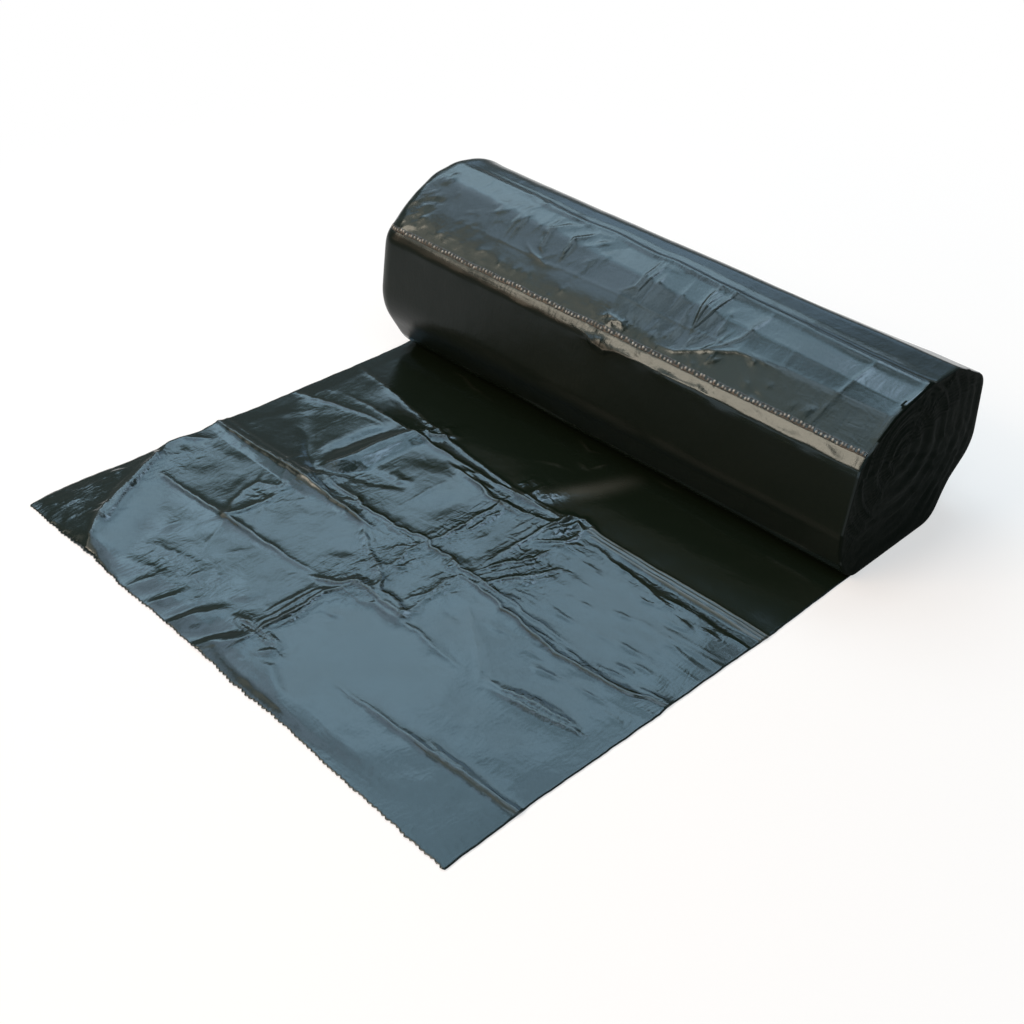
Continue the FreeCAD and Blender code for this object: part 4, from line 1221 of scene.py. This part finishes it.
# %% Model the perforation
def perforation():
    columns, rows = round(BAG_WIDTH / CUT_PITCH * 6), 9
    piece, column, row = plain_grid("perforation", columns, rows)
    x = BEADS_IN + column / (columns - 1) * (BAG_WIDTH - 2 * BEADS_IN)
    share = row / (rows - 1)
    draw = np.random.default_rng(61)
    count = round(BAG_WIDTH / CUT_PITCH) + 2
    size, shift, sideways = (draw.uniform(-1, 1, count) for _ in range(3))
    number = (x / CUT_PITCH).astype(int)
    phase = x / CUT_PITCH - number - 0.5 + 0.2 * shift[number] + 0.4 * (share - 0.5)
    middle = 0.5 + 0.2 * sideways[number]
    bead = np.exp(-((phase / 0.27) ** 2) - ((share - middle) / 0.2) ** 2)
    cut = np.exp(-(((np.abs(phase) - 0.5) / 0.16) ** 2) - ((share - middle) / 0.2) ** 2)
    height = 0.06 + (0.34 + 0.2 * size[number]) * bead - 0.3 * cut
    height = np.where((row == 0) | (row == rows - 1), -0.25, height)
    up_slope = BEADS_LOW + share * (BEADS_HIGH - BEADS_LOW) + 0.25 * smooth_noise(8, x, 0 * x, 16)
    y, z = film_place(x, up_slope, height)
    write_places(piece, x, y + UNROLLED, z)
    spread(piece, "crumple", np.full(len(x), 0.1))
    # the whitening of each torn bridge, with a painted highlight on its top
    spread(piece, "whitening_and_highlight", np.clip(1.5 * bead - 0.3, 0, 1) * (0.62 + 0.38 * size[number]))
    bpy.ops.object.mode_set(mode="EDIT")
    face_outwards()
    if sum(face.normal.z for face in piece.data.polygons) < 0:  # an open strip has no outside of its own
        piece.data.flip_normals()
    return piece


beads = perforation()
print(f"perforation: {len(beads.data.polygons)} faces, {round(BAG_WIDTH / CUT_PITCH)} cuts")

# %% [markdown]
# ## Shader maths in Python
#
# A material is a tree of nodes, and maths in it means a node for each plus and times. Written out, that
# is long and hard to read. This small class wraps the output of a node, so that a sum or product of two
# outputs can be written as one, and adds its Math node by itself.


# %% A wrapped socket
class Socket:
    """Wraps the output of a node, so that sums and products of outputs can be written as Python."""

    def __init__(self, tree, output):
        self.tree, self.output = tree, output

    def _math(self, operation, other, swapped=False):
        node = self.tree.nodes.new("ShaderNodeMath")
        node.operation = operation
        first, second = (other, self) if swapped else (self, other)
        for slot, value in zip(node.inputs, (first, second)):
            plug(self.tree, slot, value)
        return Socket(self.tree, node.outputs[0])

    def __add__(self, other):
        return self._math("ADD", other)

    __radd__ = __add__

    def __sub__(self, other):
        return self._math("SUBTRACT", other)

    def __rsub__(self, other):
        return self._math("SUBTRACT", other, swapped=True)

    def __mul__(self, other):
        return self._math("MULTIPLY", other)

    __rmul__ = __mul__

    def __abs__(self):
        return self._math("ABSOLUTE", 0.0)


def plug(tree, slot, value):
    """Links a wrapped output to an input, or sets the input to a plain value."""
    if isinstance(value, Socket):
        tree.links.new(value.output, slot)
    else:
        slot.default_value = value


# %% [markdown]
# Every other node comes from one method. It takes the node's type, its settings, and the values or links
# of its inputs by name, so that each node of a finish is one call.


# %% A finish
class Finish:
    """A material whose nodes are added by one method."""

    def __init__(self, name):
        self.material = bpy.data.materials.new(name)
        self.material.use_nodes = True
        self.tree = self.material.node_tree
        self.tree.nodes.clear()

    def node(self, kind, settings=None, output=0, **values):
        """Adds a node, sets it up, then fills its inputs by name, and returns one of its outputs."""
        node = self.tree.nodes.new(kind)
        for name, value in (settings or {}).items():
            setattr(node, name, value)
        for name, value in values.items():
            plug(self.tree, self.find_input(node, name), value)
        return Socket(self.tree, node.outputs[output])

    @staticmethod
    def find_input(node, name):
        """The input of that identifier, or of that label with spaces for underscores."""
        for slot in node.inputs:
            if slot.identifier == name or slot.name == name.replace("_", " "):
                return slot
        raise KeyError(name)

    def surface(self, shader):
        end = self.tree.nodes.new("ShaderNodeOutputMaterial")
        self.tree.links.new(shader.output, end.inputs["Surface"])
        return self.material


# %% [markdown]
# ## The finish of the film
#
# The film is thin polyethylene, coloured black. Its base colour hardly matters: nearly all that is seen
# is the soft mirror image of the studio in its surface, a little blue. Part of that blue is painted into
# the film's Specular Tint, and the rest comes from the cool lamps. The film's texture is bumps that are
# finer than the mesh. Fine lines run the way it was drawn out of the machine, there is a faint grain, and
# where the film is crumpled sharp little valleys cross each other.
#
# A regular pattern looks printed. `bent_place` shifts the places by a slow noise first, so that the
# valleys wander. Noise is used on Object coordinates, so the pattern stays on the piece wherever it goes.


# %% The texture of the film
def bent_place(finish, place, amount):
    """The place, shifted by a slow noise, so that a regular pattern on it wanders."""
    noise = finish.node("ShaderNodeTexNoise", output=1, Vector=place, Scale=90.0, Detail=2.0)
    centred = finish.node(
        "ShaderNodeVectorMath", {"operation": "SUBTRACT"}, Vector=noise, Vector_001=(0.5, 0.5, 0.5)
    )
    return finish.node(
        "ShaderNodeVectorMath", {"operation": "MULTIPLY_ADD"},
        Vector=centred, Vector_001=(amount, amount, amount), Vector_002=place,
    )


def fine_wrinkles(finish, place, scale):
    """Sharp valleys along the middle level of a noise, drawn out in one direction."""
    drawn = finish.node("ShaderNodeMapping", Vector=place, Scale=scale)
    noise = finish.node("ShaderNodeTexNoise", Vector=drawn, Scale=1.0, Detail=1.5)
    return abs(noise - 0.5)


def film_bumps(finish, place):
    """The bumps of the film: lines, grain, ripples, and little valleys where it is crumpled."""
    drawn = finish.node("ShaderNodeMapping", Vector=place, Scale=(900.0, 40.0, 200.0))
    lines = finish.node("ShaderNodeTexNoise", Vector=drawn, Scale=1.0, Detail=3.0)
    crumple = finish.node("ShaderNodeAttribute", {"attribute_name": "crumple"}, output=2)
    bent = bent_place(finish, place, 0.006)
    lengthwise = fine_wrinkles(finish, bent, (620, 150, 170))
    crosswise = fine_wrinkles(finish, bent, (150, 560, 560))
    facets = finish.node(
        "ShaderNodeTexVoronoi", {"feature": "DISTANCE_TO_EDGE"}, Vector=bent, Scale=150.0,
    )
    grain = finish.node("ShaderNodeTexNoise", Vector=place, Scale=420.0, Detail=4.0, Roughness=0.6)
    ripples = finish.node("ShaderNodeTexNoise", Vector=place, Scale=110.0, Detail=3.0, Roughness=0.5)
    crumpled = crumple * (lengthwise * 0.9 + crosswise * 0.7 + facets * 0.7)
    rise = lines * 0.03 + grain * 0.012 + ripples * 0.05 + crumpled
    return finish.node("ShaderNodeBump", Height=rise, Strength=1.0, Distance=0.0005)


# %% [markdown]
# Two kinds of film are mixed by the amounts that were kept on the vertices. Where it is folded hard the
# black turns a little white, and the same mix paints highlights on the pleat, the tongue, the slope's
# right rim and the torn bridges. Where shade is painted, a second, darker and rougher shader with hardly
# any mirror image takes over. Smudges make the gloss uneven, as fingers do.

# %% The film
# the film's own black; the pale colour of its stress whitening and of its painted highlights; the darker
# colour of its painted shade
BLACK_FILM = (0.006, 0.0105, 0.006, 1)
WHITENED_AND_HIGHLIGHT_COLOUR = (0.16, 0.168, 0.15, 1)
PAINTED_SHADE_COLOUR = (0.0045, 0.008, 0.0055, 1)


def film_finish(name, roughness):
    finish = Finish(name)
    place = finish.node("ShaderNodeTexCoord", output=3)
    bump = film_bumps(finish, place)
    smudges = finish.node("ShaderNodeTexNoise", Vector=place, Scale=35.0, Detail=4.0)
    # stress whitening along hard folds, with painted highlights on the pleat, the tongue and the slope's
    # right rim
    whitening_and_highlight = finish.node("ShaderNodeAttribute", {"attribute_name": "whitening_and_highlight"}, output=2)
    colour = finish.node(
        "ShaderNodeMix", {"data_type": "RGBA"}, output=2,
        Factor_Float=whitening_and_highlight * 0.2, A_Color=BLACK_FILM, B_Color=WHITENED_AND_HIGHLIGHT_COLOUR,
    )
    # painted reflection colour: the blue Specular Tint paints part of the blue of the film's mirror
    # image; the rest comes from the cool lamps
    glossy = finish.node(
        "ShaderNodeBsdfPrincipled", Base_Color=colour, Roughness=roughness + smudges * 0.08,
        Normal=bump, IOR=1.5, Specular_IOR_Level=0.55, Specular_Tint=(0.62, 0.83, 1.0, 1),
    )
    # painted shade: a darker, rougher film with hardly any mirror image, which keeps the roll's belly
    # dark
    painted_shade_shader = finish.node(
        "ShaderNodeBsdfPrincipled", Base_Color=PAINTED_SHADE_COLOUR, Roughness=0.34,
        Normal=bump, Specular_IOR_Level=0.13,
    )
    painted_shade = finish.node("ShaderNodeAttribute", {"attribute_name": "painted_shade"}, output=2)
    return finish.surface(
        finish.node("ShaderNodeMixShader", Fac=painted_shade * 0.85, Shader=glossy, Shader_001=painted_shade_shader)
    )


# %% [markdown]
# The torn bridges are the same film, pulled until it whitened, and a painted highlight is laid over that:
# each bead is palest at its top, where it would catch the light. A grain breaks the white up, so that the
# row doesn't look like a string of pearls.


# %% The torn bridges
def bead_finish():
    finish = Finish("torn_bridges")
    place = finish.node("ShaderNodeTexCoord", output=3)
    grain = finish.node("ShaderNodeTexNoise", Vector=place, Scale=700.0, Detail=2.0)
    whitening_and_highlight = finish.node("ShaderNodeAttribute", {"attribute_name": "whitening_and_highlight"}, output=2)
    # black film turned pale by stress whitening and by a painted highlight on each bead
    colour = finish.node(
        "ShaderNodeMix", {"data_type": "RGBA"}, output=2,
        Factor_Float=whitening_and_highlight * (0.5 + grain), A_Color=(0.006, 0.007, 0.0055, 1),
        B_Color=(0.5, 0.5, 0.47, 1),
    )
    return finish.surface(finish.node(
        "ShaderNodeBsdfPrincipled", Base_Color=colour, Roughness=0.3 + grain * 0.1,
        Specular_IOR_Level=0.4,
    ))


# %% [markdown]
# The ends of the roll show only cut edges of film. Light falls between them and is lost, so they are
# almost dead black, with a fine grain and next to no shine.


# %% The cut edges
def edge_finish():
    finish = Finish("film_edges")
    place = finish.node("ShaderNodeTexCoord", output=3)
    grain = finish.node("ShaderNodeTexNoise", Vector=place, Scale=900.0, Detail=3.0)
    bump = finish.node("ShaderNodeBump", Height=grain, Strength=0.3, Distance=0.0004)
    return finish.surface(finish.node(
        "ShaderNodeBsdfPrincipled", Base_Color=(0.004, 0.0068, 0.005, 1),
        Roughness=0.55 + grain * 0.2, Normal=bump, Specular_IOR_Level=0.03,
    ))


# %% [markdown]
# A piece can carry two finishes, and each face says which one it has. On the roll, the faces that look
# sideways and lie close to an end are cut edges. The left end is rounded, so there a face has to look
# more to the side before it counts. Smooth shading hides the grid, and the creases stay sharp because
# the grid is finer than they are.

# %% Give the pieces their finishes
END_DEPTH = 2.2  # how far in from an end its cut edges lie, in millimetres

bag.data.materials.append(film_finish("flat_film", 0.13))
beads.data.materials.append(bead_finish())
roll.data.materials.append(film_finish("wound_film", 0.18))
roll.data.materials.append(edge_finish())
for face in roll.data.polygons:
    on_end = abs(face.normal.x) > (0.6 if face.center.x < 0 else 0.25)
    near_end = min(face.center.x - low.x, high.x - face.center.x) < END_DEPTH * MM
    face.material_index = 1 if on_end and near_end else 0

for piece in (bag, roll, beads):
    bpy.ops.object.select_all(action="DESELECT")
    piece.select_set(True)
    bpy.context.view_layer.objects.active = piece
    bpy.ops.object.shade_smooth()
print(f"{sum(face.material_index for face in roll.data.polygons)} faces of the roll are cut edges")

# %% [markdown]
# ## Hang the pieces on the object's body
#
# All three pieces ride on the object's one body and stand for its one solid. The first bag is a sheet
# that was cut from a flat web: as wide as the roll is long, and 8 mm longer than the run to the middle of
# the roll, because the flat film goes on a little past it.

for piece in (bag, roll, beads):
    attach(piece, "root")
    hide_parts("bag_roll")

# %% [markdown]
# ## The floor
#
# The floor is plain, pale and matt, so that it bounces soft light and keeps the object's shadow. Further
# out it turns pure white to the eye and to mirror images, whatever light falls on it, as a studio sweep
# does. A Light Path node tells those rays from the ones that carry light.


# %% The floor
def pale_floor():
    bpy.ops.object.select_all(action="DESELECT")
    bpy.ops.mesh.primitive_plane_add(size=12, location=(0, 0, -0.0002))  # a hair under the object
    floor = bpy.context.active_object
    floor.name = "floor"
    finish = Finish("floor_paint")
    place = finish.node("ShaderNodeTexCoord", output=3)
    grain = finish.node("ShaderNodeTexNoise", Vector=place, Scale=60.0, Detail=2.0)
    paint = finish.node(
        "ShaderNodeBsdfPrincipled", Base_Color=(0.93, 0.93, 0.93, 1),
        Roughness=0.7 + grain * 0.1, Specular_IOR_Level=0.1,
    )
    away = finish.node("ShaderNodeVectorMath", {"operation": "LENGTH"}, output=1, Vector=place)
    far = finish.node(
        "ShaderNodeMapRange", {"interpolation_type": "SMOOTHSTEP"},
        Value=away, From_Min=0.11, From_Max=0.4, To_Min=0.55, To_Max=1.0,
    )
    # the outputs Is Camera Ray, Is Glossy Ray and Is Transmission Ray
    seen, mirrored, through = (finish.node("ShaderNodeLightPath", output=number) for number in (0, 3, 6))
    white = finish.node("ShaderNodeEmission", Color=(1, 1, 1, 1), Strength=1.0)
    both = finish.node(
        "ShaderNodeMixShader", Fac=(seen + mirrored + through) * far, Shader=paint, Shader_001=white
    )
    floor.data.materials.append(finish.surface(both))


pale_floor()

# %% [markdown]
# ## The light
#
# Black film is lit by what it mirrors, so each lamp is placed where some part of the film mirrors it.
# A sky of twelve softboxes stands high behind the roll's left end. The flat bag mirrors it, and a
# softbox for each part of it lets the sheen change over the bag. A narrow skirt under it catches the
# film that leans back. The slope mirrors the top, side and wall softboxes, and two low warm ones draw
# the bright line along the ridge. A weak fill keeps the rest from going dead black.
#
# An area lamp's power is spread over its size. `softbox` takes the brightness that its surface has
# instead, because that is what the film mirrors.

# %% A softbox
COOL, PALE, WARM, AMBER = (0.70, 0.90, 1.0), (0.80, 0.90, 1.0), (1.0, 0.79, 0.58), (1.0, 0.68, 0.46)
SKY_BEARINGS = (128, 146, 164, 182)  # degrees around from +X
SKY_ROWS = [
    # degrees above the floor, height and width in metres, brightness at each of the four bearings
    (38.1, 0.16, 0.36, (3.6, 3.9, 5.2, 1.6)),
    (46.5, 0.24, 0.31, (4.0, 4.4, 2.6, 1.9)),
    (57.5, 0.26, 0.24, (3.2, 3.5, 3.3, 2.8)),
]
SOFTBOXES = [
    # name, degrees around from +X and above the floor, distance, (width, height), brightness, colour
    ("skirt_softbox", 155, 33.9, 1.5, (0.72, 0.05), 2.4, COOL),
    ("top_softbox", 165, 76, 1.5, (0.5, 0.4), 3.1, (0.9, 0.96, 1.0)),
    ("side_softbox", 107, 56, 1.5, (0.28, 0.5), 7.0, (0.78, 0.9, 1.0)),
    ("crest_softbox", 120, 26, 1.5, (0.6, 0.3), 1.4, (0.5, 0.74, 1.0)),
    ("wall_207_41", 207, 41.3, 1.5, (0.4, 0.3), 2.2, WARM),
    ("wall_229_41", 229, 41.3, 1.5, (0.4, 0.3), 1.5, WARM),
    ("wall_207_53", 207, 52.8, 1.5, (0.4, 0.3), 1.5, WARM),
    ("wall_229_53", 229, 52.8, 1.5, (0.4, 0.3), 2.0, WARM),
    ("roof_softbox", 212, 66, 1.5, (0.6, 0.4), 1.25, (0.95, 0.88, 0.74)),
    ("low_233", 233, 38.4, 1.3, (0.36, 0.44), 8.8, AMBER),
    ("low_253", 253, 38.4, 1.3, (0.36, 0.44), 11.5, AMBER),
    ("fill_softbox", -25, 66, 1.6, (1.2, 1.2), 1.0, (0.86, 0.95, 1.0)),
]


def softbox(name, around, above, distance, size, brightness, colour):
    """An area lamp that faces the object from that many degrees around from +X and above the floor."""
    around, above = math.radians(around), math.radians(above)
    direction = Vector((
        math.cos(above) * math.cos(around), math.cos(above) * math.sin(around), math.sin(above)
    ))
    lamp = bpy.data.lights.new(name, "AREA")
    lamp.shape = "RECTANGLE"
    lamp.size, lamp.size_y = size
    lamp.energy = brightness * math.pi * size[0] * size[1]
    lamp.color = colour
    holder = bpy.data.objects.new(name, lamp)
    bpy.context.scene.collection.objects.link(holder)
    holder.location = direction * distance
    holder.rotation_euler = (-direction).to_track_quat("-Z", "Y").to_euler()
    holder.visible_camera = False


for row, (above, tall, wide, levels) in enumerate(SKY_ROWS):
    for column, (around, level) in enumerate(zip(SKY_BEARINGS, levels)):
        colour = COOL if column < 2 or row == 0 else PALE
        softbox(f"sky_{row}_{column}", around, above, 1.5, (wide, tall), level, colour)
for settings in SOFTBOXES:
    softbox(*settings)
print(f"{len(bpy.data.lights)} lamps")

# %% [markdown]
# The world around the studio is pale and weak. It lights what no softbox reaches, such as the hollows
# of the creases, and it is the last thing that the film mirrors where nothing else stands.

# %% The world
world = bpy.data.worlds.new("studio")
world.use_nodes = True
world.node_tree.nodes["Background"].inputs["Color"].default_value = (0.84, 0.94, 1.0, 1)
world.node_tree.nodes["Background"].inputs["Strength"].default_value = 0.2
bpy.context.scene.world = world

# %% [markdown]
# ## The camera
#
# It looks down on the object from in front of its right side. It stands less than half a metre away,
# so the far end of the roll looks about a fifth smaller than the near one.


# %% The camera
def camera():
    lens = bpy.data.cameras.new("camera")
    lens.lens = 48.73
    lens.sensor_width = 36.0
    holder = bpy.data.objects.new("camera", lens)
    bpy.context.scene.collection.objects.link(holder)
    # the place that the camera looks at and its own place, from the left end of the torn edge
    target = Vector((108.8, 109.1, 0.0)) * MM
    eye = Vector((364.5, -134.8, 258.0)) * MM
    holder.location = eye + Vector((low.x, low.y, 0))
    holder.rotation_euler = (target - eye).to_track_quat("-Z", "Y").to_euler()
    bpy.context.scene.camera = holder
    print(f"the camera is {(target - eye).length:.2f} m away")


camera()
bpy.context.scene.view_settings.view_transform = "Standard"
